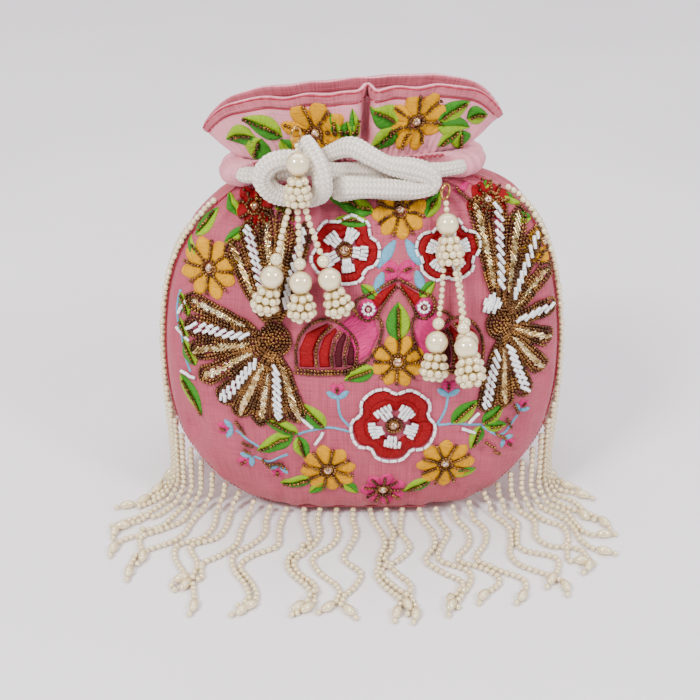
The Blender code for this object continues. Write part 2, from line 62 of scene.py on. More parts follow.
LEAN, LEAN_FROM, LEAN_TO = 0.05, 110.0, 172.0
NECK_X, NECK_HALF, NECK_DEPTH, NECK_BOXINESS = -5.0, 54.0, 11.9, 0.6
CASING_LOW, CASING_HIGH = 171.4, 184.6
TUNNEL_LEFT, TUNNEL_RIGHT, TUNNEL_SWELL = -50.0, 36.0, 9.8
RUFFLE_LOW, RUFFLE_HEIGHT, RUFFLE_CORNER_DROP = 183.6, 34.0, 17.0
RUFFLE_HALF = (53.0, 71.0)
RUFFLE_EDGE, RUFFLE_BULGE = 2.3, 9.5     # half depth at the corners, and what the middle adds
RUFFLE_PLEATS, PLEAT_DEPTH = 7, 1.6
FRONT_FLARE, BACK_FLARE = 2.5, 7.0       # change of half depth from the casing to the rim
FINE_PLEATS, FINE_DEPTH = 17, 0.75
HEM_FROM = 0.85                          # share of the ruffle's height where the hem starts
FOLD_U, FOLD_WIDTH, FOLD_DEPTH = 0.1, 0.032, 10.5
FOLD_LIPS, FOLD_LIP_WIDTH = ((0.0, 3.0), (0.19, 1.2)), 0.06

# ---- fringe and tassels --------------------------------------------------------------------
STRAND_T = 2.4
STRAND_PITCH = 8.6
STRANDS_PER_TRIM = 5
STRAND_WAVE = np.array((6.8, 44.0))
FRONT_SPLAY, SIDE_SPLAY = 14.0, 54.0
SLIDE_BACK, SLIDE_FROM_Z, SLIDE_END_Z = 0.24, 44.0, 25.0
STRAND_OFF = STRAND_T / 2 + 0.9
WIDEST_Z = 82.0
LOW_SEAM = 12.0            # strands sewn lower than this lie down straight from the seam
HANG_SHARES, HANG_LEAN = (0.3, 0.6, 0.85), 2.0
FOOT_RISE, FOOT_OUT = 5.0, 1.5
FLOOR_OUT = {"hanging": 6.0, "low": 9.0}
FLOOR_STEP, FLOOR_STEPS = 10.0, 12
SPLAY_HEIGHT = 100.0
SETTLE_BELOW = 14.0        # beads lower than this push each other apart
FRINGE_PEARLS = 25
FRINGE_D = (3.35, 3.05)
OAT = (8.6, 2.25)
END_BEAD_R, THREAD_R = 1.45, 0.28
TASSELS = {
    "left": dict(ring=(-30.5, -27.2, 202.0), pearl=(-29.6, -35.2, 191.0),
                 cluster=((-29.6, -38.2, 185.0), (-30.0, -39.6, 173.2)),
                 cups=((-45.5, -49.0, 128.5), (-28.6, -52.0, 126.5), (-11.8, -52.2, 129.0))),
    "right": dict(ring=(38.5, -25.6, 173.5), pearl=(39.6, -32.0, 159.8),
                  cluster=((40.2, -36.0, 154.4), (41.2, -40.6, 143.4)),
                  cups=((34.0, -60.6, 99.0), (51.0, -59.0, 98.5), (49.2, -74.4, 104.6))),
}
PENDANT_OFFSETS = {
    "left": ((-3.6, 0.0, 0.0), (0.0, 0.0, 0.0), (3.6, 0.0, 0.0)),
    "right": ((-3.4, 1.0, 0.0), (3.2, 2.2, 0.0), (1.6, -3.4, 0.0)),
}
RING_R, RING_WIRE, RING_TURN = 3.4, 0.62, 0.75
LARGE_R, MEDIUM_R, BALL_R = 5.5, 3.0, 5.6
CUP_HEIGHT, CUP_AXIS_GAP, STRAND_DROP, PEARL_GAP = 11.5, 0.4, 1.8, 0.3
SMALL_R, STRAND_BEAD_PITCH = 2.0, 3.05
# pearls round a cluster and a cup: share of the height, ring radius, count
CLUSTER_ROWS = ((0.08, 3.3, 6), (0.36, 4.3, 8), (0.63, 4.9, 9), (0.9, 4.5, 8))
CUP_ROWS = ((0.1, 3.8, 6), (0.42, 4.9, 8), (0.74, 5.4, 9), (0.95, 3.4, 5))
CLUSTER_CORE, CUP_CORE = 3.3, 3.6

# ---- drawstring ----------------------------------------------------------------------------
CORD_D, CORD_WALES = 7.0, 10
CORD_STEPS, CORD_AROUND = 1100, 40
SLACK_GROWTH, CHANNEL_SQUEEZE, CHANNEL_SHIFT = 0.15, 0.2, 1.2
FIBRES, LEFT_FIBRES, RIGHT_FIBRES = 520, 60, 100
DRAWSTRING_ROUTE = (
    (-28.0, -21.6, 197.5), (-24.5, -26.0, 194.0), (-20.5, -31.0, 188.5), (-18.6, -33.2, 181.5),
    (-19.5, -31.0, 174.8), (-25.0, -26.6, 170.6),
    (-34.0, -23.8, 169.6), (-42.5, -23.4, 172.6), (-46.6, -23.4, 179.5), (-42.5, -23.8, 186.6),
    (-34.0, -24.4, 189.0), (-25.0, -24.6, 186.6), (-16.0, -22.6, 182.8),
    (-6.0, -18.0, 180.2), (8.0, -16.4, 179.6), (24.0, -16.2, 180.0), (38.0, -15.4, 180.4),
    (48.5, -10.0, 180.8), (53.2, 0.0, 180.8), (48.5, 10.0, 180.6), (36.0, 15.6, 180.2),
    (12.0, 16.2, 179.2), (-14.0, 16.2, 178.0), (-40.0, 15.8, 176.8), (-55.0, 12.2, 176.0),
    (-63.0, 0.0, 175.6), (-57.0, -11.4, 176.2),
    (-44.0, -15.4, 178.0), (-33.0, -16.2, 180.0), (-22.0, -16.6, 184.5), (-13.5, -17.6, 190.2),
    (-5.0, -21.4, 193.8), (4.0, -25.2, 190.6), (12.0, -26.0, 186.8),
    (22.0, -25.6, 184.6), (30.5, -25.2, 181.4), (32.2, -25.2, 177.2), (26.0, -26.0, 174.6),
    (14.0, -26.6, 175.6), (2.0, -26.8, 176.2), (-7.0, -25.4, 175.6), (-11.4, -21.6, 172.6),
    (-7.0, -18.8, 170.8),
    (4.0, -18.8, 171.0), (16.0, -19.0, 171.4), (27.0, -19.6, 173.0), (36.0, -20.6, 176.0),
)


# ---- small maths ---------------------------------------------------------------------------
def unit(vectors):
    vectors = np.asarray(vectors, float)
    return vectors / np.maximum(np.linalg.norm(vectors, axis=-1, keepdims=True), 1e-9)


def smooth(t):
    t = np.clip(t, 0, 1)
    return t * t * (3 - 2 * t)


def catmull(points, count):
    """Evenly spaced points on a smooth curve through the given ones."""
    pts = np.asarray(points, float)
    ext = np.vstack([2 * pts[0] - pts[1], pts, 2 * pts[-1] - pts[-2]])
    t = np.linspace(0, 1, 24, endpoint=False)[:, None]
    dense = [0.5 * (2 * b + (c - a) * t + (2 * a - 5 * b + 4 * c - d) * t ** 2
                    + (3 * b - a - 3 * c + d) * t ** 3)
             for a, b, c, d in zip(ext[:-3], ext[1:-2], ext[2:-1], ext[3:])]
    return spread(np.vstack(dense + [pts[-1:]]), count)


def spread(line, count):
    """The polyline again, with evenly spaced points."""
    line = np.asarray(line, float)
    run = np.concatenate([[0], np.cumsum(np.linalg.norm(np.diff(line, axis=0), axis=1))])
    at = np.linspace(0, run[-1], count)
    return np.stack([np.interp(at, run, line[:, k]) for k in range(line.shape[1])], 1)


def line_length(line):
    return float(np.linalg.norm(np.diff(line, axis=0), axis=1).sum())


def lean(points):
    out = np.array(points, float)
    t = smooth((out[..., 2] - LEAN_FROM) / (LEAN_TO - LEAN_FROM))
    out[..., 2] += LEAN * out[..., 0] * t
    return out


def ripples(seed, wavelength, count=14, stretch=(1.0, 1.0)):
    """A smooth random height field over two coordinates in mm, about -1..1."""
    rng = np.random.default_rng(seed)
    angle = rng.uniform(0, math.tau, count)
    k = math.tau / (wavelength * rng.uniform(0.7, 1.5, count))
    phase = rng.uniform(0, math.tau, count)
    kx, kz = k * np.cos(angle) / stretch[0], k * np.sin(angle) / stretch[1]

    def height(a, b):
        a, b = np.asarray(a, float), np.asarray(b, float)
        return np.sin(a[..., None] * kx + b[..., None] * kz + phase).sum(-1) / math.sqrt(count)
    return height


# ---- meshes --------------------------------------------------------------------------------
class Mesh:
    """Collects parts of one piece; faces are index arrays of one width per part."""

    def __init__(self):
        self.points, self.uvs, self.faces, self.slots = [], [], [], []
        self.count = 0

    def add(self, points, faces, slot=0, uv=None):
        points = np.asarray(points, float).reshape(-1, 3)
        uv = np.zeros((len(points), 2)) if uv is None else np.asarray(uv, float).reshape(-1, 2)
        faces = np.asarray(faces, int)
        self.points.append(points)
        self.uvs.append(uv)
        self.faces.append(faces + self.count)
        self.slots.append(np.full(len(faces), slot))
        self.count += len(points)

    def build(self, name, materials, body="bag", replaces=(), slot=None, flat=False):
        points, uvs = np.vstack(self.points) * MM, np.vstack(self.uvs)
        loops = np.concatenate([f.ravel() for f in self.faces])
        sizes = np.concatenate([np.full(len(f), f.shape[1]) for f in self.faces])
        starts = np.concatenate([[0], np.cumsum(sizes)[:-1]])
        mesh = bpy.data.meshes.new(name)
        mesh.vertices.add(len(points))
        mesh.vertices.foreach_set("co", points.ravel())
        mesh.loops.add(len(loops))
        mesh.loops.foreach_set("vertex_index", loops)
        mesh.polygons.add(len(sizes))
        mesh.polygons.foreach_set("loop_start", starts)
        mesh.polygons.foreach_set("material_index", np.concatenate(self.slots))
        mesh.update(calc_edges=True)
        mesh.uv_layers.new(name="cloth").data.foreach_set("uv", uvs[loops].ravel())
        for mat in materials:
            mesh.materials.append(mat)
        mesh.polygons.foreach_set("use_smooth", np.full(len(sizes), not flat))
        mesh.validate()
        obj = bpy.data.objects.new(name, mesh)
        bpy.context.scene.collection.objects.link(obj)
        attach(obj, body)
        if replaces:
            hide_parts(*replaces)
        return obj


def grid_faces(rows, cols, wrap=False):
    r, c = np.meshgrid(np.arange(rows - 1), np.arange(cols if wrap else cols - 1), indexing="ij")
    n = (c + 1) % cols
    return np.stack([r * cols + c, r * cols + n, (r + 1) * cols + n, (r + 1) * cols + c],
                    -1).reshape(-1, 4)


def shell(mesh, outer, inner, uv, wrap=False, slots=(0, 0), flip=False):
    """A sheet with thickness: two matching grids and the walls between their open edges."""
    rows, cols = outer.shape[:2]
    quads = grid_faces(rows, cols, wrap)
    index = np.arange(rows * cols).reshape(rows, cols)
    rims = [index[0], index[-1][::-1]]
    if wrap:
        rims = [np.append(r, r[0]) for r in rims]
    else:
        rims += [index[::-1, 0], index[:, -1]]
    n = rows * cols
    walls = np.vstack([np.stack([b, a, a + n, b + n], 1)
                       for r in rims for a, b in [(r[:-1], r[1:])]])
    if flip:
        quads, walls = quads[:, ::-1], walls[:, ::-1]
    points = np.vstack([outer.reshape(-1, 3), inner.reshape(-1, 3)])
    uvs = np.vstack([uv.reshape(-1, 2)] * 2)
    start = mesh.count
    mesh.add(points, quads, slots[0], uvs)
    for extra, slot in ((quads[:, ::-1] + n, slots[1]), (walls, slots[0])):
        mesh.faces.append(extra + start)
        mesh.slots.append(np.full(len(extra), slot))


def revolve(profile, segments):
    """Unit template turned about Z: rows of (z, radius) with radius 0 at both ends."""
    turn = np.arange(segments) * math.tau / segments
    rings = [np.stack([r * np.cos(turn), r * np.sin(turn), np.full(segments, z)], 1)
             for z, r in profile[1:-1]]
    points = np.vstack([[(0, 0, profile[0][0])]] + rings + [[(0, 0, profile[-1][0])]])
    k, n = np.arange(segments), (np.arange(segments) + 1) % segments
    low = np.stack([np.zeros(segments, int), 1 + n, 1 + k, 1 + k], 1)
    last = 1 + (len(rings) - 1) * segments
    high = np.stack([np.full(segments, len(points) - 1), last + k, last + n, last + n], 1)
    sides = [np.stack([1 + a * segments + k, 1 + a * segments + n,
                       1 + (a + 1) * segments + n, 1 + (a + 1) * segments + k], 1)
             for a in range(len(rings) - 1)]
    return points, low[:, :3], high[:, :3], np.vstack(sides)


def ball(segments, rings):
    turn = [math.pi * i / rings for i in range(rings + 1)]
    return revolve([(-math.cos(t), math.sin(t)) for t in turn], segments)


PEARL = ball(9, 6)
FINE_PEARL = ball(20, 14)
SEED = revolve([(-1, 0), (-0.86, 0.66), (0, 1.04), (0.86, 0.66), (1, 0)], 6)
BUGLE = revolve([(-1, 0), (-1, 0.72), (-0.9, 1), (0.9, 1), (1, 0.72), (1, 0)], 6)
OAT_BEAD = revolve([(-1, 0), (-0.93, 0.3), (-0.7, 0.72), (-0.3, 0.98), (0, 1), (0.3, 0.98),
                    (0.7, 0.72), (0.93, 0.3), (1, 0)], 10)
SEQUIN = revolve([(0.1, 0), (0.0, 0.3), (0.16, 0.34), (0.34, 0.95), (0.28, 1), (-0.1, 0)], 9)
BULLION = revolve([(-1, 0)] + [(-1 + 2 * (i + 0.5) / 11, 0.78 + 0.22 * (i % 2))
                               for i in range(11)] + [(1, 0)], 5)


def scatter(mesh, template, centres, axes, radius, half_length=None, slot=0):
    """Copies of a template at centres, its Z along axes."""
    centres, axes = np.atleast_2d(centres), unit(np.atleast_2d(axes))
    if not len(centres):
        return
    points, *face_sets = template
    n = len(centres)
    radius = np.broadcast_to(np.asarray(radius, float), n)
    half = radius if half_length is None else np.broadcast_to(np.asarray(half_length, float), n)
    helper = np.where(np.abs(axes[:, 2:3]) > 0.9, (1.0, 0.0, 0.0), (0.0, 0.0, 1.0))
    side = unit(np.cross(axes, helper))
    other = np.cross(axes, side)
    local = points[None] * np.stack([radius, radius, half], 1)[:, None]
    placed = (centres[:, None] + local[..., :1] * side[:, None] + local[..., 1:2] * other[:, None]
              + local[..., 2:] * axes[:, None])
    base = mesh.count
    shift = (np.arange(n) * len(points))[:, None, None]
    spin = np.tile(points[:, :2], (n, 1))
    mesh.add(placed, (face_sets[0][None] + shift).reshape(-1, 3), slot, spin)
    for faces in face_sets[1:]:
        mesh.faces.append((faces[None] + shift + base).reshape(-1, faces.shape[1]))
        mesh.slots.append(np.full(n * len(faces), slot))


# ---- materials -----------------------------------------------------------------------------
def new_material(name, colour, roughness, metallic=0.0, **inputs):
    mat = bpy.data.materials.new(name)
    mat.use_nodes = True
    shader = mat.node_tree.nodes["Principled BSDF"]
    values = {"Base Color": (*colour, 1.0), "Roughness": roughness, "Metallic": metallic, **inputs}
    for key, value in values.items():
        shader.inputs[key].default_value = value
    return mat, mat.node_tree, shader


def node(tree, kind, inputs=None, **settings):
    made = tree.nodes.new(kind)
    for key, value in settings.items():
        setattr(made, key, value)
    for key, value in (inputs or {}).items():
        if isinstance(value, bpy.types.NodeSocket):
            tree.links.new(value, made.inputs[key])
        else:
            made.inputs[key].default_value = value
    return made


def ramp(tree, factor, *stops):
    made = node(tree, "ShaderNodeValToRGB", {"Fac": factor})
    elements = made.color_ramp.elements
    elements[0].position, elements[0].color = stops[0][0], (*stops[0][1], 1)
    elements[1].position, elements[1].color = stops[-1][0], (*stops[-1][1], 1)
    for position, colour in stops[1:-1]:
        elements.new(position).color = (*colour, 1)
    return made.outputs["Color"]


def scaled(tree, source, scale):
    return node(tree, "ShaderNodeMapping", {"Vector": source, "Scale": scale}).outputs["Vector"]


def srgb(red, green, blue):
    return tuple(c / 255 / 12.92 if c / 255 <= 0.04045 else ((c / 255 + 0.055) / 1.055) ** 2.4
                 for c in (red, green, blue))


def bump(tree, shader, height, strength, distance, previous=None):
    inputs = {"Height": height, "Strength": strength, "Distance": distance}
    if previous is not None:
        inputs["Normal"] = previous
    made = node(tree, "ShaderNodeBump", inputs)
    tree.links.new(made.outputs["Normal"], shader.inputs["Normal"])
    return made.outputs["Normal"]


def silk(name, light, deep, slub=1.0):
    """Raw silk: a plain weave with thick slub threads, uneven dye and a soft sheen."""
    mat, tree, shader = new_material(name, light, 0.55, **{"Sheen Weight": 0.12,
                                                         "Sheen Roughness": 0.4,
                                                         "Specular IOR Level": 0.35})
    uv = node(tree, "ShaderNodeTexCoord").outputs["UV"]
    slubs = node(tree, "ShaderNodeTexNoise", {"Vector": scaled(tree, uv, (0.05, 2.6, 1)),
                                            "Scale": 1.0, "Detail": 5.0, "Roughness": 0.6})
    warp = node(tree, "ShaderNodeTexNoise", {"Vector": scaled(tree, uv, (2.2, 0.04, 1)),
                                           "Scale": 1.0, "Detail": 4.0, "Roughness": 0.6})
    dye = node(tree, "ShaderNodeTexNoise", {"Vector": scaled(tree, uv, (0.03, 0.03, 1)),
                                          "Scale": 1.0, "Detail": 4.0, "Roughness": 0.55})
    both = node(tree, "ShaderNodeMath", {0: slubs.outputs["Fac"], 1: warp.outputs["Fac"]},
                operation="ADD").outputs[0]
    half = node(tree, "ShaderNodeMath", {0: both, 1: 0.5}, operation="MULTIPLY").outputs[0]
    threads = ramp(tree, half, (0.38, deep), (0.5, light), (0.6, tuple(min(1, c * 1.25)
                                                                       for c in light)))
    patches = ramp(tree, dye.outputs["Fac"], (0.3, deep), (0.62, light))
    mix = node(tree, "ShaderNodeMix", {0: 0.3, 6: threads, 7: patches}, data_type="RGBA")
    tree.links.new(mix.outputs[2], shader.inputs["Base Color"])
    weave_x = node(tree, "ShaderNodeTexWave", {"Vector": scaled(tree, uv, (1, 0, 1)),
                                             "Scale": 0.62, "Distortion": 0.4}).outputs["Fac"]
    weave_z = node(tree, "ShaderNodeTexWave", {"Vector": scaled(tree, uv, (0, 1, 1)),
                                             "Scale": 0.62, "Distortion": 0.4},
                   bands_direction="Y").outputs["Fac"]
    weave = node(tree, "ShaderNodeMath", {0: weave_x, 1: weave_z}, operation="MULTIPLY")
    first = bump(tree, shader, weave.outputs[0], 0.25, 0.0002)
    bump(tree, shader, half, 0.55 * slub, 0.0006, first)
    return mat


def satin(name, colour, dark):
    """Embroidery floss: UV x runs across the stitches, UV y along them."""
    mat, tree, shader = new_material(name, colour, 0.45, **{"Specular IOR Level": 0.14})
    uv = node(tree, "ShaderNodeTexCoord").outputs["UV"]
    floss = node(tree, "ShaderNodeTexNoise", {"Vector": scaled(tree, uv, (3.2, 0.22, 1)),
                                            "Scale": 1.0, "Detail": 5.0, "Roughness": 0.65})
    stitch = node(tree, "ShaderNodeTexNoise", {"Vector": scaled(tree, uv, (1.5, 0.1, 1)),
                                             "Scale": 1.0, "Detail": 1.0})
    bright = tuple(min(1.0, c * 1.22 + 0.01) for c in colour)
    shade = ramp(tree, floss.outputs["Fac"], (0.3, dark), (0.48, colour), (0.7, bright))
    tree.links.new(shade, shader.inputs["Base Color"])
    first = bump(tree, shader, floss.outputs["Fac"], 0.7, 0.0004)
    bump(tree, shader, stitch.outputs["Fac"], 0.8, 0.0008, first)
    return mat


def beady(name, dark, mid, bright, roughness, metallic, cell, coat=0.3):
    """Small beads that differ a little from one to the next."""
    mat, tree, shader = new_material(name, mid, roughness, metallic, **{"Coat Weight": coat,
                                                                      "Coat Roughness": 0.1})
    place = node(tree, "ShaderNodeTexCoord").outputs["Object"]
    cells = node(tree, "ShaderNodeTexVoronoi", {"Vector": place, "Scale": 1000.0 / cell})
    tone = node(tree, "ShaderNodeSeparateColor", {0: cells.outputs["Color"]}).outputs[0]
    tree.links.new(ramp(tree, tone, (0.05, dark), (0.5, mid), (0.95, bright)),
                   shader.inputs["Base Color"])
    return mat


def pearl_coat(name, colour, deep, roughness=0.22):
    """Nacre: cream body, painted shade as a warm darker rim, and a faint rosy-green lustre."""
    mat, tree, shader = new_material(name, colour, roughness, 0.1, **{
        "Coat Weight": 1.0, "Coat Roughness": 0.03, "Coat IOR": 1.75, "Subsurface Weight": 0.08,
        "Subsurface Scale": 0.001, "Specular IOR Level": 0.6})
    facing = node(tree, "ShaderNodeLayerWeight", {"Blend": 0.35}).outputs["Facing"]
    place = node(tree, "ShaderNodeTexCoord").outputs["Object"]
    swirl = node(tree, "ShaderNodeTexNoise", {"Vector": place, "Scale": 260.0, "Detail": 2.0})
    # painted shade: the cream darkens to the deep colour where the surface turns away from the view
    body = ramp(tree, facing, (0.0, colour), (0.25, colour), (0.8, deep))
    tint = ramp(tree, swirl.outputs["Fac"], (0.35, srgb(252, 232, 214)), (0.5, srgb(255, 250, 236)),
                (0.65, srgb(238, 240, 214)))
    mix = node(tree, "ShaderNodeMix", {0: 0.35, 6: body, 7: tint}, data_type="RGBA")
    mix.blend_type = "MULTIPLY"
    tree.links.new(mix.outputs[2], shader.inputs["Base Color"])
    bump(tree, shader, swirl.outputs["Fac"], 0.06, 0.0003)
    return mat


WALE, COURSE = 2.2, 1.9


def knit(name):
    """Cotton knit: the loops and the loose fibres are geometry, this adds plied yarn."""
    mat, tree, shader = new_material(name, srgb(226, 222, 217), 0.95, **{
        "Sheen Weight": 0.5, "Sheen Roughness": 0.6, "Specular IOR Level": 0.2})
    uv = node(tree, "ShaderNodeTexCoord").outputs["UV"]
    yarn = node(tree, "ShaderNodeTexNoise", {"Vector": scaled(tree, uv, (5.0, 5.0, 1)),
                                           "Scale": 1.0, "Detail": 6.0, "Roughness": 0.75})
    place = node(tree, "ShaderNodeSeparateXYZ", {0: uv})

    def calc(operation, *values):
        return node(tree, "ShaderNodeMath", dict(enumerate(values)), operation=operation).outputs[0]

    column = calc("FRACT", calc("DIVIDE", place.outputs["X"], WALE))
    vee = calc("ABSOLUTE", calc("SUBTRACT", column, 0.5))
    loops = calc("SINE", calc("SUBTRACT", calc("MULTIPLY", place.outputs["Y"],
                                               math.tau / COURSE), calc("MULTIPLY", vee, 7.0)))
    height = calc("SUBTRACT", calc("MULTIPLY", loops, 0.5), calc("MULTIPLY", vee, 1.5))
    relief = calc("ADD", height, calc("MULTIPLY", yarn.outputs["Fac"], 0.8))
    # painted shade and light: darker in the gaps between the loops and lighter on the loop crests;
    # the yarn noise adds random tone
    shade = ramp(tree, relief, (0.0, srgb(222, 208, 192)), (0.22, srgb(246, 236, 224)),
                 (0.5, srgb(255, 250, 242)))
    tree.links.new(shade, shader.inputs["Base Color"])
    bump(tree, shader, relief, 0.6, 0.0004)
    return mat


def metal(name, colour, roughness):
    mat, tree, shader = new_material(name, colour, roughness, 1.0)
    place = node(tree, "ShaderNodeTexCoord").outputs["Object"]
    wear = node(tree, "ShaderNodeTexNoise", {"Vector": place, "Scale": 500.0, "Detail": 3.0})
    tree.links.new(ramp(tree, wear.outputs["Fac"], (0.35, tuple(c * 0.7 for c in colour)),
                        (0.6, colour)), shader.inputs["Base Color"])
    return mat


def stone(name, colour):
    mat, tree, shader = new_material(name, colour, 0.04, 0.35, **{"Coat Weight": 1.0,
                                                                "Coat Roughness": 0.02,
                                                                "IOR": 1.9})
    place = node(tree, "ShaderNodeTexCoord").outputs["Object"]
    cells = node(tree, "ShaderNodeTexVoronoi", {"Vector": place, "Scale": 900.0})
    tone = node(tree, "ShaderNodeSeparateColor", {0: cells.outputs["Color"]}).outputs[0]
    # facet tones at random: amber is the stone's own colour, the near-white cells are painted glints
    # and the darkest cells painted reflections
    tree.links.new(ramp(tree, tone, (0.1, tuple(c * 0.35 for c in colour)), (0.5, colour),
                        (0.9, srgb(250, 226, 200))), shader.inputs["Base Color"])
    return mat


M = {
    # painted light: the ruffle and casing silk (silk) is a lighter copy of the panel silk, standing
    # for the sheen on the cloth that faces up
    "silk": silk("pink_raw_silk", srgb(228, 152, 166), srgb(198, 106, 122)),
    "silk_panel": silk("pink_raw_silk_panel", srgb(178, 78, 98), srgb(142, 44, 62)),
    "silk_low": silk("pink_raw_silk_plain", srgb(178, 78, 92), srgb(142, 46, 58)),
    "hem": silk("hem_silk", srgb(196, 106, 120), srgb(150, 52, 66), 1.8),
    "lining": silk("lining_silk", srgb(186, 108, 120), srgb(140, 70, 82), 0.5),
    "green": satin("floss_green", srgb(58, 132, 32), srgb(24, 78, 12)),
    "lime": satin("floss_lime", srgb(142, 178, 26), srgb(88, 126, 8)),
    "yellow": satin("floss_yellow", srgb(216, 152, 0), srgb(156, 92, 0)),
    "red": satin("floss_red", srgb(140, 0, 12), srgb(84, 0, 6)),
    "maroon": satin("floss_maroon", srgb(74, 6, 22), srgb(36, 0, 8)),
    "pink": satin("floss_pink", srgb(200, 44, 112), srgb(146, 16, 74)),
    "blue": satin("floss_blue", srgb(104, 166, 196), srgb(62, 116, 154)),
    "stitch": satin("stitch_red", srgb(190, 50, 70), srgb(140, 20, 36)),
    "bronze": beady("seed_bronze", srgb(76, 44, 14), srgb(106, 66, 26), srgb(142, 98, 46),
                    0.2, 0.85, 5.0),
    "white": beady("bugle_white", srgb(226, 228, 234), srgb(244, 245, 248), srgb(255, 255, 255),
                   0.16, 0.0, 2.6, 0.9),
    "sequin": beady("sequin_gold", srgb(184, 150, 90), srgb(216, 188, 130), srgb(250, 238, 200),
                    0.14, 0.95, 3.0),
    "bullion": beady("bullion_gold", srgb(130, 98, 54), srgb(196, 164, 106), srgb(238, 222, 176),
                     0.22, 0.95, 1.6),
    "stone": stone("amber_stone", srgb(168, 100, 60)),
    "pearl": pearl_coat("pearl_large", srgb(246, 230, 192), srgb(150, 114, 58), 0.14),
    "pearls": pearl_coat("pearl_small", srgb(245, 228, 186), srgb(146, 110, 54), 0.16),
    "knit": knit("cotton_knit"),
    "gilt": metal("gilt_wire", srgb(214, 168, 92), 0.2),
    "thread": satin("gold_thread", srgb(214, 184, 108), srgb(150, 118, 52)),
}


# ---- cloth surfaces ------------------------------------------------------------------------
DENSE = catmull(PROFILE, 500)
DENSE[:, 0] = np.maximum.accumulate(DENSE[:, 0])
PUCKER, CREASE, SLACK = ripples(3, 15.0), ripples(5, 12.0, 12, (1.0, 7.0)), ripples(8, 34.0)
GATHERS = 9.0


def profile_at(z):
    return [np.interp(z, DENSE[:, 0], DENSE[:, k]) for k in range(1, 5)]


def front_relief(s, x, z):
    """Height of the cloth over the smooth belly: gathers at the neck, puckers, seam roll."""
    gather = smooth((z - 138.0) / 34.0) ** 1.5
    folds = np.cos(math.tau * GATHERS * s + 2.0 * np.sin(4.1 * s)) * 1.1 * gather
    low = 1 - smooth((z - 40.0) / 60.0)
    seam = smooth((np.abs(s) - 0.965) / 0.035)
    calm = 1 - seam
    return calm * (folds + 0.45 * PUCKER(x, z) + (0.2 + 0.3 * low) * CREASE(x, z)) - 0.5 * seam


def front_point(x, z):
    """Front panel at sideways place x and height z."""
    x, z = np.broadcast_arrays(np.asarray(x, float), np.asarray(z, float))
    half, seam, bulge, shift = profile_at(z)
    s = np.clip((x - shift) / half, -1, 1)
    c = np.sqrt(np.maximum(1 - s * s, 1e-6))
    base = np.stack([shift + half * s, -(seam + bulge * c), z], -1)
    outward = unit(np.stack([bulge * s, -half * c, 0.25 * (z - WIDEST_Z) / 8 * c], -1))
    return lean(base + outward * front_relief(s, x, z)[..., None])


def ruffle_point(u, v, facing=1):
    """Collar: u -1..1 from left to right, v 0..1 from the casing to the rim."""
    u, v = np.broadcast_arrays(np.asarray(u, float), np.asarray(v, float))
    half = RUFFLE_HALF[0] + (RUFFLE_HALF[1] - RUFFLE_HALF[0]) * np.clip(v, 0, 1.1) ** 0.9
    rise = RUFFLE_HEIGHT - RUFFLE_CORNER_DROP * np.abs(u) ** 7
    flat = 1 - np.abs(np.clip(u, -1, 1)) ** 3
    depth = RUFFLE_EDGE + RUFFLE_BULGE * flat
    wave = PLEAT_DEPTH * v * flat * np.cos(math.tau * RUFFLE_PLEATS * (u + 1) / 2)
    fine = FINE_DEPTH * flat * np.clip(1 - v, 0, 1) ** 2 * np.cos(math.tau * FINE_PLEATS * u
                                                               + 3 * np.sin(5 * u))
    soft = 0.45 * PUCKER(u * 62 + 200 * facing, v * 34)
    if facing > 0:
        depth = depth + FRONT_FLARE * v * flat + wave + fine + soft
        open_fold = smooth(v * 2.2)
        depth = depth - FOLD_DEPTH * open_fold * np.exp(-((u - FOLD_U) / FOLD_WIDTH) ** 2)
        for place, height in FOLD_LIPS:
            depth = depth + height * open_fold * np.exp(-((u - place) / FOLD_LIP_WIDTH) ** 2)
    else:
        depth = depth - BACK_FLARE * v * flat - 0.5 * wave + fine + soft
    sway = 1.2 * np.sin(3.0 * u + 0.6) * v
    return lean(np.stack([NECK_X + half * u, -facing * depth,
                          RUFFLE_LOW + rise * v + sway], -1))


class Cloth:
    """A surface (a, b) -> point, with cloth distances round any place on it."""

    def __init__(self, point, step):
        self.point, self.step = point, step

    def tangents(self, ab):
        a, b = ab[..., 0], ab[..., 1]
        da, db = self.step
        along_a = (self.point(a + da, b) - self.point(a - da, b)) / (2 * da)
        along_b = (self.point(a, b + db) - self.point(a, b - db)) / (2 * db)
        return along_a, along_b

    def at(self, ab, lift=0.0):
        ab = np.atleast_2d(np.asarray(ab, float))
        normal = unit(np.cross(*self.tangents(ab)))
        return self.point(ab[..., 0], ab[..., 1]) + normal * np.asarray(lift)[..., None], normal

    def spot(self, centre, offsets):
        """Offsets in mm of cloth round a centre, as (a, b)."""
        centre = np.asarray(centre, float)
        along_a, along_b = self.tangents(centre[None])
        scale = (np.linalg.norm(along_a), np.linalg.norm(along_b))
        return centre + np.asarray(offsets, float) / scale

    def length(self, ab):
        return line_length(self.at(ab)[0])


FRONT = Cloth(front_point, (1.2, 1.2))
COLLAR = Cloth(ruffle_point, (0.012, 0.02))

# ---- embroidery ----------------------------------------------------------------------------
FLOSS = ("green", "lime", "yellow", "red", "maroon", "pink", "blue", "thread", "stitch")
BEADS = ("bronze", "white", "sequin", "bullion", "stone", "gilt")
SEED_R, SEED_PITCH = 0.93, 1.62
BUGLE_R, BUGLE_HALF = 0.85, 1.8
PAD = 0.9


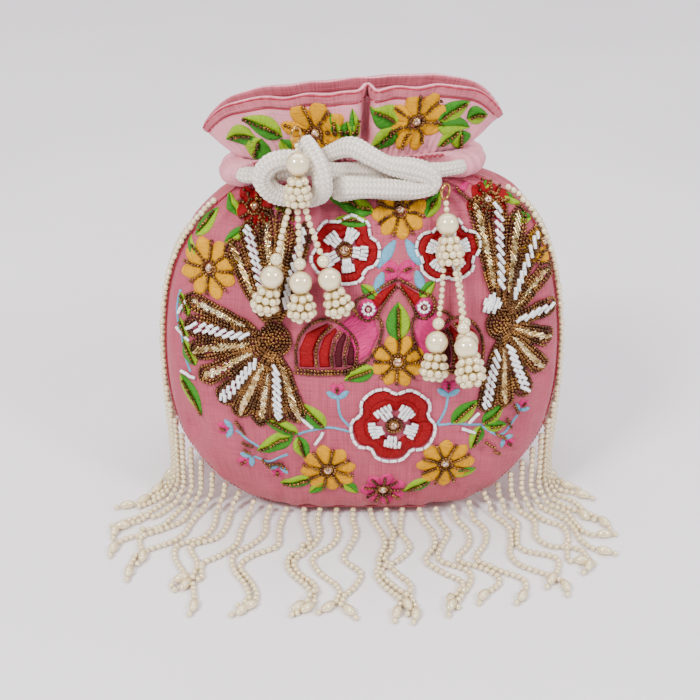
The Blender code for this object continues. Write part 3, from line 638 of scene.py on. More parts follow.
class Work:
    """The embroidery of one cloth: a thread mesh and a bead mesh."""

    def __init__(self, cloth):
        self.cloth, self.floss, self.beads = cloth, Mesh(), Mesh()

    def patch(self, left, right, colour, slant=0.0, pad=PAD, across=9):
        """Satin stitch between two edges; the stitches run from one edge to the other."""
        rows = max(6, int(self.cloth.length(np.asarray(left, float)) / 1.0))
        one, two = spread(left, rows), spread(right, rows)
        t = np.linspace(0, 1, across)
        ab = one[:, None] * (1 - t)[None, :, None] + two[:, None] * t[None, :, None]
        run = np.linspace(0, 1, rows)
        ends = smooth(np.minimum(run, 1 - run) * rows / 2.5)
        dome = np.sqrt(np.maximum(1 - (2 * t - 1) ** 2, 0))
        rough = RNG.uniform(-0.06, 0.06, (rows, across))
        lift = 0.12 + pad * (0.35 + 0.65 * ends[:, None]) * dome[None] + rough * dome[None]
        points, _ = self.cloth.at(ab.reshape(-1, 2), lift.ravel())
        points = points.reshape(rows, across, 3)
        under, _ = self.cloth.at(ab.reshape(-1, 2), -0.5)
        under = under.reshape(rows, across, 3)
        along = run * self.cloth.length(one)
        width = np.linalg.norm(points[:, -1] - points[:, 0], axis=1)
        uv = np.stack([along[:, None] + slant * width[:, None] * t[None],
                       width[:, None] * t[None]], -1)
        shell(self.floss, points, under, uv + RNG.uniform(0, 50, 2), slots=(FLOSS.index(colour),) * 2)

    def seeds(self, line, lift=0.0, kind="bronze", radius=SEED_R, pitch=SEED_PITCH):
        """A couched row of seed beads."""
        line = catmull(line, 60) if len(line) > 2 else np.asarray(line, float)
        length = self.cloth.length(spread(line, 30))
        count = max(1, int(round(length / pitch)))
        ab = spread(line, 2 * count + 1)[1::2]
        points, normal = self.cloth.at(ab, np.full(len(ab), radius + lift))
        points = points + RNG.normal(0, 0.09, points.shape)
        along = np.gradient(points, axis=0) if len(points) > 1 else np.cross(normal, (0, 0, 1.0))
        along = along + RNG.normal(0, 0.12 * SEED_PITCH, along.shape)
        sizes = radius * RNG.uniform(0.92, 1.08, len(points))
        scatter(self.beads, SEED, points, along, sizes, sizes * 0.82, BEADS.index(kind))

    def tubes(self, centres, directions, kind="white", template=BUGLE, radius=BUGLE_R,
              half=BUGLE_HALF, lift=0.0):
        """Bugles or bullion lying on the cloth; directions are (a, b) steps in mm of cloth."""
        centres = np.atleast_2d(np.asarray(centres, float))
        directions = np.broadcast_to(np.asarray(directions, float), centres.shape)
        points, normal = self.cloth.at(centres, np.full(len(centres), radius + 0.15) + lift)
        along_a, along_b = self.cloth.tangents(centres)
        along = unit(along_a) * directions[:, :1] + unit(along_b) * directions[:, 1:]
        along = unit(along) + RNG.normal(0, 0.07, along.shape) + normal * RNG.normal(
            0, 0.05, (len(along), 1))
        scatter(self.beads, template, points, along, radius, half, BEADS.index(kind))

    def outline(self, line, kind="white", step=3.9, close=True, lift=0.0):
        """Bugles laid end to end."""
        line = np.asarray(line, float)
        if close:
            line = np.vstack([line, line[:1]])
        count = max(3, int(round(self.cloth.length(line) / step)))
        ab = spread(line, 2 * count + 1)
        middle, ends = ab[1::2], ab[::2]
        points, _ = self.cloth.at(middle, np.full(len(middle), BUGLE_R + 0.2 + lift))
        tips, _ = self.cloth.at(ends, np.full(len(ends), BUGLE_R + 0.2 + lift))
        along = tips[1:] - tips[:-1]
        along = along + RNG.normal(0, 0.25, along.shape)
        scatter(self.beads, BUGLE, points, along, BUGLE_R, BUGLE_HALF, BEADS.index(kind))

    def gem(self, centre, radius=2.1, ring=True):
        """A set stone with a collar of seed beads."""
        point, normal = self.cloth.at(centre, 0.9)
        table = revolve([(-0.5, 0), (-0.4, 0.98), (0.1, 1.0), (0.62, 0.62), (0.66, 0)], 8)
        scatter(self.beads, table, point, normal, radius, None, BEADS.index("stone"))
        claw = revolve([(-0.7, 0), (-0.7, 1.05), (-0.1, 1.22), (0.16, 1.08), (-0.3, 0)], 12)
        scatter(self.beads, claw, point, normal, radius, None, BEADS.index("gilt"))
        if ring:
            turn = np.linspace(0, math.tau, 25)
            reach = radius + 1.55
            self.seeds(self.cloth.spot(centre, np.stack([np.cos(turn), np.sin(turn)], 1) * reach),
                       0.25)

    def leaf(self, base, tip, width, colours=("green", "lime"), beads=0.6, bend=0.0, lift=0.0):
        """Two halves in satin stitch along a midrib, with a row of beads on it."""
        base, tip = np.asarray(base, float), np.asarray(tip, float)
        offsets = self.local(base, tip)
        length = np.linalg.norm(offsets)
        ahead = offsets / length
        beside = np.array([-ahead[1], ahead[0]])
        t = np.linspace(0, 1, 9)
        shape = np.sin(math.pi * t ** 0.8) ** 0.85 * width / 2
        rib = ahead * (t * length)[:, None] + beside * (bend * np.sin(math.pi * t))[:, None]
        middle = self.cloth.spot(base, rib)
        for side, colour in ((1, colours[0]), (-1, colours[1])):
            edge = self.cloth.spot(base, rib + beside * (side * shape)[:, None])
            pair = (middle, edge) if side < 0 else (edge, middle)
            self.patch(*pair, colour, slant=0.9 * side, across=6)
        if beads:
            first = 4 - int(round(4 * beads))
            self.seeds(middle[max(1, first):max(4, 9 - first)], 0.75 + lift)

    def local(self, base, tip):
        """The step from base to tip in mm of cloth."""
        along_a, along_b = self.cloth.tangents(np.asarray(base, float)[None])
        step = np.asarray(tip, float) - base
        return step * (np.linalg.norm(along_a), np.linalg.norm(along_b))

    def petal(self, centre, angle, inner, outer, width, colour, square=0.0):
        t = np.linspace(0, 1, 9)
        shape = width / 2 * (np.sin(math.pi * (0.1 + 0.86 * t ** (1.5 - square))) ** 0.7)
        ahead = np.array([math.cos(angle), math.sin(angle)])
        beside = np.array([-ahead[1], ahead[0]])
        rib = ahead * (inner + (outer - inner) * t)[:, None]
        edges = [self.cloth.spot(centre, rib + beside * (side * shape)[:, None])
                 for side in (1, -1)]
        self.patch(*edges, colour, slant=0.3)

    def daisy(self, centre, radius, colour="yellow", petals=8, turn=0.0, rays=None, part=None):
        """Padded petals with a bead ray between every two, round a stone."""
        angles = turn + np.arange(petals) * math.tau / petals
        rays = petals if rays is None else rays
        for angle in angles:
            if part is None or part[0] <= angle % math.tau <= part[1]:
                self.petal(centre, angle, 0.2 * radius, radius * RNG.uniform(0.94, 1.04),
                           radius * 4.2 / petals, colour)
        for k in range(rays):
            angle = turn + (k + 0.5) * math.tau / rays
            reach = np.array([[math.cos(angle), math.sin(angle)]])
            ends = self.cloth.spot(centre, reach * np.array([[0.3], [0.62], [0.9]]) * radius)
            self.seeds(ends, 0.55)
        self.gem(centre)

    def poppy(self, centre, radius, turn=0.3, lobes=5):
        """Five red lobes edged in bugles, white bugle petals and a beaded stone."""
        turns = np.linspace(0, math.tau, 61)[:-1]
        wave = 1 - 0.17 * np.abs(np.cos((turns - turn) * lobes / 2)) ** 6
        ring = np.stack([np.cos(turns), np.sin(turns)], 1) * (radius * wave)[:, None]
        closed = np.vstack([ring, ring[:1]])
        for inner, outer in ((0.45, 0.72), (0.7, 0.97)):
            self.patch(self.cloth.spot(centre, closed * outer),
                       self.cloth.spot(centre, closed * inner), "red", pad=0.55)
        self.outline(self.cloth.spot(centre, ring * 1.03))
        for k in range(lobes):
            middle = turn + (k + 0.5) * math.tau / lobes
            ahead = np.array([math.cos(middle), math.sin(middle)])
            beside = np.array([-ahead[1], ahead[0]])
            for row, reach in enumerate((0.31 * radius, 0.31 * radius + 3.3)):
                columns = max(3, round(0.72 * math.tau / lobes * reach / 1.72))
                for c in range(columns):
                    off = c - (columns - 1) / 2
                    place = ahead * (reach + 0.9 - 0.16 * off * off) + beside * off * 1.72
                    self.tubes(self.cloth.spot(centre, place), ahead + beside * off * 0.05,
                               lift=0.6 + 0.5 * (1 - row))
        self.gem(centre, 2.2)

    def feather(self, hub, tip, width, fill, double=False, bend=0.0, inner=0.16):
        """A long loop of seed beads filled with bugles, bullion or sequins."""
        hub, tip = np.asarray(hub, float), np.asarray(tip, float)
        step = self.local(hub, tip)
        length = np.linalg.norm(step)
        ahead = step / length
        beside = np.array([-ahead[1], ahead[0]])
        t = np.linspace(inner, 1, 15)
        shape = width / 2 * np.clip((t - inner) / (1 - inner), 0, 1) ** 0.6
        shape[-3:] *= (0.97, 0.75, 0.0)
        rib = ahead * (t * length)[:, None] + beside * (bend * np.sin(math.pi * t))[:, None]
        for extra, lift in ((0.0, 0.1),) + (((1.6, 0.0),) if double else ()):
            wide = shape + extra * np.clip((t - inner) * 5, 0, 1)
            wide[-1] = 0
            ends = rib + ahead * np.linspace(0, extra, 15)[:, None]
            for side in (1, -1):
                self.seeds(self.cloth.spot(hub, ends + beside * (side * wide)[:, None]), lift)
        self.fill(hub, rib, ahead, beside, shape, fill)

    def fill(self, hub, rib, ahead, beside, shape, fill):
        length = line_length(rib)
        steps = {"bugle": 1.7, "bullion": 1.75, "sequin": 1.8}[fill]
        count = int(length * 0.78 / steps)
        at = np.linspace(0.2, 0.95, count)
        grid = np.linspace(0, 1, len(rib))
        middle = np.stack([np.interp(at, grid, rib[:, k]) for k in range(2)], 1)
        wide = np.interp(at, grid, shape)
        if fill == "sequin":
            middle = middle + beside * (np.where(np.arange(count) % 2, 0.25, -0.25)
                                        * wide)[:, None]
            places, normal = self.cloth.at(self.cloth.spot(hub, middle), np.full(count, 0.5))
            toward = unit(normal + 0.35 * unit(RNG.normal(0, 1, (count, 3))))
            scatter(self.beads, SEQUIN, places, toward, 1.7, 1.1, BEADS.index("sequin"))
            return
        sway = np.where(np.arange(count) % 2, 1.0, -1.0)
        if fill == "bugle":
            slant = ahead + beside * 0.62
            self.tubes(self.cloth.spot(hub, middle + beside * (sway * 0.38 * wide)[:, None]),
                       slant, radius=0.95, half=1.95, lift=0.5 + 0.25 * (sway + 1))
        else:
            half = np.clip(wide * 1.45, 1.2, 3.6)
            self.tubes(self.cloth.spot(hub, middle), ahead + beside * 0.55, "bullion", BULLION,
                       0.82, half, lift=0.3)

    def sprig(self, centre, angle, size=1.0, bud="pink"):
        """A bud between two small blue leaves."""
        ahead = np.array([math.cos(angle), math.sin(angle)]) * size
        beside = np.array([-ahead[1], ahead[0]])
        spot = self.cloth.spot
        for side in (1, -1):
            self.blade(spot(centre, -1.5 * ahead), spot(centre, 2.0 * ahead + side * 5.4 * beside),
                       3.6 * size, "blue")
            self.blade(spot(centre, 0.5 * ahead), spot(centre, 6.6 * ahead + side * 2.4 * beside),
                       4.4 * size, bud)
        self.seeds(spot(centre, np.outer((1.5, 3.5, 5.5), ahead)), 0.7)

    def blade(self, base, tip, width, colour):
        """A single pointed patch."""
        step = self.local(base, tip)
        length = np.linalg.norm(step)
        ahead = step / length
        beside = np.array([-ahead[1], ahead[0]])
        t = np.linspace(0, 1, 7)
        shape = np.sin(math.pi * (0.06 + 0.9 * t)) ** 0.8 * width / 2
        rib = ahead * (t * length)[:, None]
        edges = [self.cloth.spot(base, rib + beside * (side * shape)[:, None]) for side in (1, -1)]
        self.patch(*edges, colour, slant=0.4, pad=0.6, across=7)

    def stem(self, line, colour="blue", width=1.3):
        line = catmull(line, 24)
        along_a, along_b = self.cloth.tangents(line)
        scale = np.stack([np.linalg.norm(along_a, axis=1), np.linalg.norm(along_b, axis=1)], 1)
        step = unit(np.gradient(line, axis=0) * scale)
        beside = np.stack([-step[:, 1], step[:, 0]], 1) * width / 2 / scale
        self.patch(line + beside, line - beside, colour, slant=0.8, pad=0.4, across=5)

    def finish(self, prefix):
        self.floss.build(f"{prefix}_floss", [M[k] for k in FLOSS], slot="silk")
        self.beads.build(f"{prefix}_beads", [M[k] for k in BEADS], slot="gold")


MIRROR_X, MIRROR_SHRINK = 17.0, 0.84


def mirrored(points):
    out = np.array(points, float)
    out[..., 0] = MIRROR_X + MIRROR_SHRINK * (MIRROR_X - out[..., 0])
    return out


def bird(work, flip):
    """Neck, head, beak and striped wing; flip gives the bird on the right."""
    place = mirrored if flip else np.array

    def band(left, right, colour, pad=PAD):
        left, right = place(left), place(right)
        work.patch(*((right, left) if flip else (left, right)), colour, pad=pad)

    band([(-12.5, 113), (-6.5, 109), (-4, 102), (-3.2, 96)],
         [(-3, 119.6), (5.5, 117), (7.8, 110), (3.6, 100.5)], "pink")
    band([(3.5, 126.5), (10, 129.5), (16, 132.4)], [(7, 121.5), (11.5, 126), (15.6, 130.6)], "red")
    head = np.array((2.6, 121.6))
    turns = np.linspace(0, math.tau, 25)
    circle = np.stack([np.cos(turns), np.sin(turns)], 1)
    centre = place(head)
    inner, outer = work.cloth.spot(centre, circle * 0.6), work.cloth.spot(centre, circle * 4.6)
    work.patch(outer, inner, "pink", pad=0.5)
    work.seeds(work.cloth.spot(centre, circle * 2.5), 0.5, "white")
    work.seeds(work.cloth.spot(centre, circle[:2] * 0.2), 0.5, "stone", 1.2)
    for line in (((-3.5, 121.5), (-2.5, 125.8), (2.5, 127.6), (9, 130.6), (16.6, 134.0)),
                 ((6.8, 118.5), (8.6, 121.6), (12, 126), (16.4, 131.0)),
                 ((-3.5, 121.5), (-2.0, 118.6), (2.5, 116.4), (6.8, 118.5)),
                 ((6.8, 118.5), (9.2, 113.5), (7.6, 105), (3.6, 98.5), (-2.6, 94.2), (-6, 92.3)),
                 ((-3.5, 121.5), (-9, 119.3), (-14, 116.2)),
                 ((-31.8, 92.6), (-31.8, 103), (-28, 111.5), (-20.5, 116), (-14, 116.2),
                  (-8, 112.5), (-3.6, 107), (-2.4, 101), (-3.4, 95.6), (-6, 92.3)),
                 ((-31.8, 92.2), (-18, 91.6), (-6, 92.3)),
                 ((-21.9, 93.5), (-22.3, 101), (-19.8, 108), (-14.5, 114)),
                 ((-14.3, 93.5), (-14.8, 100), (-13.2, 106.5), (-10.4, 111.5)),
                 ((-8.4, 94), (-8.7, 99.5), (-7.7, 104), (-6.4, 108.5)),
                 ((-33.4, 90.6), (-20, 89.9), (-6, 90.6))):
        work.seeds(place(line))
    stripes = (("red", [(-30.3, 93.5), (-30.3, 102), (-27, 109.5), (-17, 114.6)],
                [(-23.2, 93.5), (-23.6, 101), (-21, 108), (-16, 113.8)]),
               ("red", [(-20.6, 93.5), (-21, 101), (-18.5, 108), (-13, 112.8)],
                [(-15.6, 93.5), (-16, 100), (-14.5, 107), (-12, 111.6)]),
               ("maroon", [(-13, 93.5), (-13.5, 100), (-12, 106), (-9, 110.8)],
                [(-9.6, 94), (-10, 100), (-9, 105), (-7.6, 109)]),
               ("maroon", [(-7.2, 94.5), (-7.5, 99), (-6.5, 103.5), (-5.6, 106.6)],
                [(-4.2, 95), (-3.9, 98.5), (-3.9, 102), (-4.9, 105.6)]))
    for colour, left, right in stripes:
        band(left, right, colour)


LEFT_HUB, RIGHT_HUB = (-42.0, 106.0), (67.0, 112.0)
LEFT_TAIL = (   # tip, width, fill
    ((-84.0, 121.0), 5.5, "sequin"), ((-84.5, 108.5), 6.5, "bugle"), ((-82.5, 96.5), 6.5, "bullion"),
    ((-78.5, 83.0), 6.5, "sequin"), ((-69.5, 72.5), 6.5, "bugle"), ((-61.0, 66.0), 6.0, "bullion"),
    ((-50.5, 62.5), 5.0, "sequin"), ((-41.0, 64.5), 6.0, "bugle"), ((-31.5, 65.5), 5.5, "bullion"),
    ((-62.5, 149.0), 6.0, "bullion"), ((-55.0, 157.0), 5.5, "bugle"), ((-46.0, 162.0), 4.5, "sequin"),
    ((-36.5, 163.0), 5.0, "bullion"), ((-27.5, 156.0), 5.0, "bugle"),
)
RIGHT_TAIL = (
    ((53.5, 163.0), 5.0, "bullion"), ((64.0, 161.5), 5.5, "bugle"), ((74.5, 156.5), 5.5, "bullion"),
    ((83.5, 147.0), 5.5, "bugle"), ((89.5, 132.0), 5.0, "sequin"), ((92.5, 115.0), 5.5, "bugle"),
    ((91.5, 100.0), 5.5, "bullion"), ((88.5, 86.0), 5.5, "bullion"), ((80.5, 75.0), 5.5, "bugle"),
    ((70.5, 70.0), 5.0, "bullion"), ((60.5, 69.0), 5.5, "bugle"),
)
# base, tip, width, share of the midrib in beads
LEAVES = (
    ((17.0, 106.5), (17.0, 124.5), 12.0, 0.7), ((6.0, 93.5), (-9.0, 87.0), 9.0, 0.8),
    ((27.0, 93.0), (42.0, 88.0), 9.0, 0.8), ((6.0, 160.5), (-17.0, 168.0), 9.0, 0.8),
    ((3.0, 157.0), (-14.0, 158.5), 7.5, 0.6), ((30.0, 158.0), (37.0, 167.0), 8.0, 0.6),
    ((-80.5, 150.0), (-69.0, 163.0), 8.5, 0.7), ((-81.0, 140.0), (-83.5, 149.0), 5.0, 0.0),
    ((-66.0, 149.0), (-52.5, 157.0), 6.0, 0.0), ((-60.0, 160.0), (-65.0, 169.0), 7.0, 0.0),
    ((-42.0, 163.0), (-27.0, 167.0), 6.5, 0.7),
    ((66.0, 164.0), (80.0, 157.0), 6.5, 0.0), ((58.0, 166.5), (65.5, 170.0), 5.5, 0.0),
    ((71.0, 155.0), (82.5, 151.5), 5.5, 0.0),
    ((-18.0, 60.5), (-30.5, 74.0), 9.5, 0.8), ((-31.5, 57.0), (-48.0, 64.0), 9.0, 0.8),
    ((-34.0, 56.0), (-53.0, 45.0), 9.5, 0.8), ((-32.0, 55.0), (-28.0, 41.5), 8.5, 0.8),
    ((44.0, 62.0), (57.0, 74.0), 9.5, 0.8), ((60.0, 60.0), (70.5, 70.0), 8.5, 0.8),
    ((61.0, 58.5), (72.5, 58.0), 6.5, 0.6), ((59.5, 58.5), (54.5, 46.0), 8.0, 0.8),
    ((-25.0, 28.5), (-42.0, 24.5), 8.0, 0.8), ((-18.0, 27.5), (-27.0, 19.5), 7.0, 0.0),
    ((-9.0, 27.5), (-2.0, 20.0), 6.5, 0.0), ((35.0, 28.5), (21.0, 20.5), 8.0, 0.8),
    ((46.0, 30.0), (58.0, 33.5), 7.0, 0.0),
    ((-84.5, 112.0), (-88.0, 123.0), 6.0, 0.8), ((-85.5, 101.0), (-89.0, 110.0), 7.0, 0.8),
    ((-82.0, 88.0), (-88.0, 100.0), 8.0, 0.8), ((-90.0, 82.0), (-79.5, 62.5), 8.5, 0.9),
    ((7.0, 126.0), (-1.0, 132.0), 6.0, 0.0), ((27.0, 126.0), (34.5, 132.5), 6.0, 0.0),
)
BLADES = (   # base, tip, width, colour
    ((7.0, 139.0), (15.5, 149.5), 5.5, "blue"), ((9.5, 137.0), (6.0, 127.5), 5.0, "blue"),
    ((28.0, 139.0), (20.5, 149.5), 5.5, "blue"), ((25.5, 137.0), (29.0, 127.5), 5.0, "blue"),
    ((17.0, 138.5), (9.0, 139.5), 6.5, "pink"), ((17.0, 138.5), (25.0, 139.5), 6.5, "pink"),
    ((17.0, 136.5), (10.5, 133.5), 4.5, "pink"), ((17.0, 136.5), (23.5, 133.5), 4.5, "pink"),
    ((44.0, 166.0), (51.0, 169.5), 5.0, "pink"), ((-38.0, 160.0), (-30.0, 157.0), 4.5, "pink"),
)
SPRIGS = (   # centre, heading in degrees, size
    ((-12.0, 79.0), 92, 1.0), ((42.0, 79.0), 88, 1.0), ((-66.0, 57.0), 185, 0.95),
    ((-57.0, 40.0), 215, 0.95), ((-42.0, 35.5), 262, 0.95), ((79.0, 66.0), 65, 0.8),
    ((72.0, 49.0), 320, 0.8),
)
STEMS = (
    ((-12.0, 78.0), (-10.5, 68.0), (-5.0, 60.5)), ((42.0, 78.0), (40.5, 70.0), (37.0, 62.0)),
    ((-5.0, 59.0), (-14.0, 61.0), (-24.0, 60.0), (-32.0, 56.0)),
    ((37.0, 62.0), (48.0, 61.5), (60.0, 59.0)),
    ((-63.0, 56.0), (-55.0, 50.0), (-50.0, 46.0)), ((-55.0, 41.0), (-47.0, 39.0), (-37.0, 45.0)),
    ((-88.0, 124.0), (-90.5, 112.0), (-88.5, 98.0), (-85.0, 84.0)),
    ((60.0, 58.0), (70.0, 53.0), (78.0, 62.0)),
)
DASHES = (   # short rows of seed beads
    ((-63.0, 62.0), (-57.5, 55.0)), ((-60.0, 50.0), (-54.0, 48.5)), ((-59.5, 46.5), (-56.0, 43.5)),
    ((-50.0, 41.0), (-46.0, 35.5)), ((-47.0, 38.0), (-39.0, 39.0)), ((-43.0, 38.5), (-36.5, 36.5)),
    ((11.0, 138.5), (15.0, 137.5)), ((23.0, 138.5), (19.0, 137.5)), ((75.0, 70.0), (78.0, 63.5)),
    ((72.0, 62.0), (74.5, 56.0)), ((66.0, 55.0), (72.0, 50.5)), ((62.0, 50.0), (67.0, 46.0)),
    ((66.0, 44.0), (69.5, 41.5)), ((45.0, 168.5), (50.0, 163.5)), ((-39.0, 163.0), (-32.0, 158.0)),
)
WHITE_STROKES = (
    ((-30.0, 66.0), (-24.5, 61.5)), ((-19.5, 58.5), (-23.0, 52.5)), ((53.0, 62.5), (57.0, 66.5)),
    ((50.0, 59.0), (55.5, 56.0)), ((-91.0, 105.0), (-84.5, 100.5)), ((-89.0, 113.0), (-85.5, 119.0)),
    ((-89.0, 84.0), (-83.0, 81.5)),
)


def front_embroidery():
    work = Work(FRONT)
    for flip in (False, True):
        bird(work, flip)
    for hub, tail in ((LEFT_HUB, LEFT_TAIL), (RIGHT_HUB, RIGHT_TAIL)):
        for tip, width, fill in tail:
            work.feather(hub, tip, 1.12 * width, fill, double=True)
        for radius in (1.4, 3.0, 4.6, 6.2, 7.8):
            turns = np.linspace(0, math.tau, 30)
            work.seeds(FRONT.spot(hub, np.stack([np.cos(turns), np.sin(turns)], 1) * radius),
                       0.2)
    turns = np.arange(14) * 2.4
    rosette = np.stack([np.cos(turns), np.sin(turns)], 1) * np.sqrt(np.arange(14) / 14)[:, None]
    work.tubes(FRONT.spot((61.5, 121.0), rosette * 4.2), (0.3, 1.0), lift=0.6)
    for base, tip, width, beads in LEAVES:
        work.leaf(base, tip, width, beads=beads)
    for base, tip, width, colour in BLADES:
        work.blade(base, tip, width, colour)
    for centre, heading, size in SPRIGS:
        work.sprig(centre, math.radians(heading), size)
    for line in STEMS:
        work.stem(line)
    for line in DASHES:
        work.seeds(line, 0.5)
    for line in WHITE_STROKES:
        work.outline(line, close=False, step=3.6)
    for centre, radius, turn in (((18.0, 161.0), 14.5, 0.1), ((-73.5, 136.5), 15.0, 0.3),
                                 ((17.0, 96.5), 13.5, 0.35), ((-17.0, 36.0), 15.0, 0.2),
                                 ((42.0, 38.5), 15.0, 0.0)):
        work.daisy(centre, radius, turn=turn)
    work.daisy((89.0, 141.0), 9.5, petals=7, turn=0.3)
    for centre, radius in (((-51.5, 164.0), 11.0), ((60.0, 162.0), 11.5)):
        work.daisy(centre, radius, "red", petals=6, rays=8, turn=0.2)
    work.daisy((11.0, 22.0), 11.5, "pink", petals=7, rays=9, turn=0.45)
    for centre, radius, turn in (((-8.5, 146.0), 16.0, 0.5), ((40.5, 144.0), 15.0, 0.9),
                                 ((15.5, 63.0), 20.5, 0.25)):
        work.poppy(centre, radius, turn)
    work.finish("front")


COLLAR_LEAVES = (
    ((-0.74, 0.42), (-0.95, 0.52), 11.0, 0.8), ((-0.53, 0.40), (-0.76, 0.76), 10.5, 0.9),
    ((-0.70, 0.40), (-0.86, 0.04), 11.0, 0.7), ((0.34, 0.50), (0.13, 0.74), 10.0, 0.8),
    ((0.36, 0.42), (0.15, 0.18), 10.0, 0.8), ((0.64, 0.50), (0.80, 0.82), 9.0, 0.8),
    ((0.84, 0.56), (0.95, 0.76), 8.5, 0.7), ((0.64, 0.44), (0.90, 0.44), 8.5, 0.0),
    ((0.84, 0.38), (0.72, 0.12), 8.5, 0.7), ((0.86, 0.36), (0.94, 0.04), 8.0, 0.7),
    ((-0.10, 0.30), (-0.15, 0.74), 4.5, 0.0), ((0.03, 0.34), (0.00, 0.78), 4.0, 0.0),
    ((-0.02, 0.36), (-0.04, 0.60), 8.5, 0.0), ((-0.56, 0.36), (-0.46, 0.06), 8.5, 0.0),
)


def collar_embroidery():
    work = Work(COLLAR)
    for base, tip, width, beads in COLLAR_LEAVES:
        work.leaf(base, tip, 1.2 * width, beads=beads)
    for centre, radius, turn in (((-0.28, 0.44), 16.0, 0.5), ((0.47, 0.52), 16.0, 0.35)):
        work.daisy(centre, radius, turn=turn, petals=8, rays=7)
    for line in (((-0.1, 0.42), (-0.02, 0.46), (0.03, 0.42)), ((-0.14, 0.4), (-0.13, 0.62)),
                 ((0.02, 0.42), (0.04, 0.62))):
        work.seeds(line, 0.6)
    work.finish("collar")


# ---- cloth pieces --------------------------------------------------------------------------
def pouch_panel(name, facing, material):
    rows, cols = 112, 142
    t = np.linspace(0, 1, rows) ** 0.85
    z = np.interp(t, np.linspace(0, 1, len(DENSE)), DENSE[:, 0])
    angle = np.linspace(-1, 1, cols) * math.pi / 2
    half, _, _, shift = profile_at(z)
    x = shift[:, None] + half[:, None] * np.sin(angle)[None]
    zz = np.broadcast_to(z[:, None], x.shape)
    layers = []
    for depth in (0.0, PANEL_THICK):
        if facing > 0:
            points = front_point(x, zz)
        else:
            sag = 0.9 * SLACK(x, zz) + 0.5 * CREASE(x * 0.8 + 90, zz)
            edge = 1 - smooth((np.abs(np.sin(angle)) - 0.9) / 0.1)
            points = front_point(x, zz) * (1, -1, 1)
            points[..., 1] += sag * edge[None]
        inward = np.stack([-x * 0.012, np.full(x.shape, 1.0) * facing, np.zeros(x.shape)], -1)
        layers.append(points + unit(inward) * depth)
    uv = np.stack([half[:, None] * angle[None], np.broadcast_to(z[:, None] * 1.1, x.shape)], -1)
    mesh = Mesh()
    shell(mesh, *layers, uv, flip=facing < 0)
    return mesh.build(name, [M[material]], replaces=[name.replace("_cloth", "")], slot="silk")


def outline_normals(rows):
    step = np.gradient(rows[:, [1, 0]], axis=0)
    normals = unit(np.stack([step[:, 1], -step[:, 0]], 1))
    normals[0] = (0.0, -1.0)
    return normals


def side_band():
    rows = DENSE[::4]
    normals = outline_normals(rows)
    share_up = smooth(rows[:, 0] / BASE_RISE)
    drop = BASE_DROP * (1 - share_up) / (1 - smooth(PROFILE[0, 0] / BASE_RISE))
    right = np.stack([rows[:, 4] + rows[:, 1], rows[:, 2] + 0.15, rows[:, 0]], 1)
    left = right * (-1, 1, 1) + np.outer(2 * rows[:, 4], (1, 0, 0))
    floor_x = np.linspace(-33, 33, 24)
    floor = np.stack([floor_x, np.full(24, 48.15), np.full(24, rows[0, 0])], 1)
    seam = np.vstack([left[::-1], floor, right])
    out = np.vstack([normals[::-1] * (-1, 1), np.tile((0.0, -1.0), (24, 1)), normals])
    lift = np.concatenate([drop[::-1], np.full(24, drop[0]), drop])
    shares = np.linspace(-1, 1, 41)
    curl = np.clip((np.abs(shares) - BASE_FLAT) / (1 - BASE_FLAT), 0, 1) ** 2
    run = np.concatenate([[0], np.cumsum(np.linalg.norm(np.diff(seam[:, [0, 2]], axis=0), axis=1))])
    across = seam[:, 1:2] * shares[None]
    crumple = 0.5 * PUCKER(across * 1.3 + 40, run[:, None]) * (1 - curl)[None]
    crumple *= smooth((seam[:, 2] - 8) / 20)[:, None]
    layers = []
    for depth in (0.0, BAND_THICK):
        fall = lift[:, None] * (1 - curl)[None] - depth + crumple
        layers.append(lean(np.stack([seam[:, :1] + out[:, :1] * fall, across,
                                     seam[:, 2:] + out[:, 1:] * fall], -1)))
    uv = np.stack([across, np.broadcast_to(run[:, None], across.shape)], -1)
    mesh = Mesh()
    shell(mesh, *layers, uv)
    mesh.build("side_band_cloth", [M["silk_low"]], replaces=["side_band"], slot="silk")


def neck_loop(z, half, depth, turns):
    x = NECK_X + half * np.sin(turns)
    y = -depth * np.sign(np.cos(turns)) * np.abs(np.cos(turns)) ** NECK_BOXINESS
    return np.stack([x, y, np.full(len(turns), z)], -1)


def casing():
    """Drawstring channel: a gathered silk tunnel that lets the cord out at the front."""
    turns = np.linspace(0, math.tau, 260, endpoint=False)
    levels = np.linspace(0, 1, 17)
    gather = np.cos(turns * 46 + 2 * np.sin(3 * turns)) + 0.5 * np.cos(turns * 29)
    x = NECK_X + NECK_HALF * np.sin(turns)
    exits = smooth((x - TUNNEL_RIGHT) / 8.0) + smooth((TUNNEL_LEFT - x) / 5.0)
    cover = np.where(np.cos(turns) > 0, exits, 1.0)
    layers = []
    for depth in (0.0, 1.0):
        rings = []
        for level in levels:
            squeeze = math.sin(math.pi * level)
            swell = TUNNEL_SWELL * cover * squeeze ** 0.35 - 1.1 * squeeze * (1 - cover)
            reach = swell - depth + 0.45 * gather * (0.6 + 0.4 * squeeze)
            rings.append(neck_loop(CASING_LOW + (CASING_HIGH - CASING_LOW) * level,
                                   NECK_HALF + reach, NECK_DEPTH + reach, turns))
        layers.append(lean(np.array(rings)))
    uv = np.stack(np.broadcast_arrays(turns[None] * 32, levels[:, None] * 20), -1)
    mesh = Mesh()
    shell(mesh, *layers, uv, wrap=True)
    mesh.build("casing_cloth", [M["silk"]], replaces=["casing"], slot="silk")


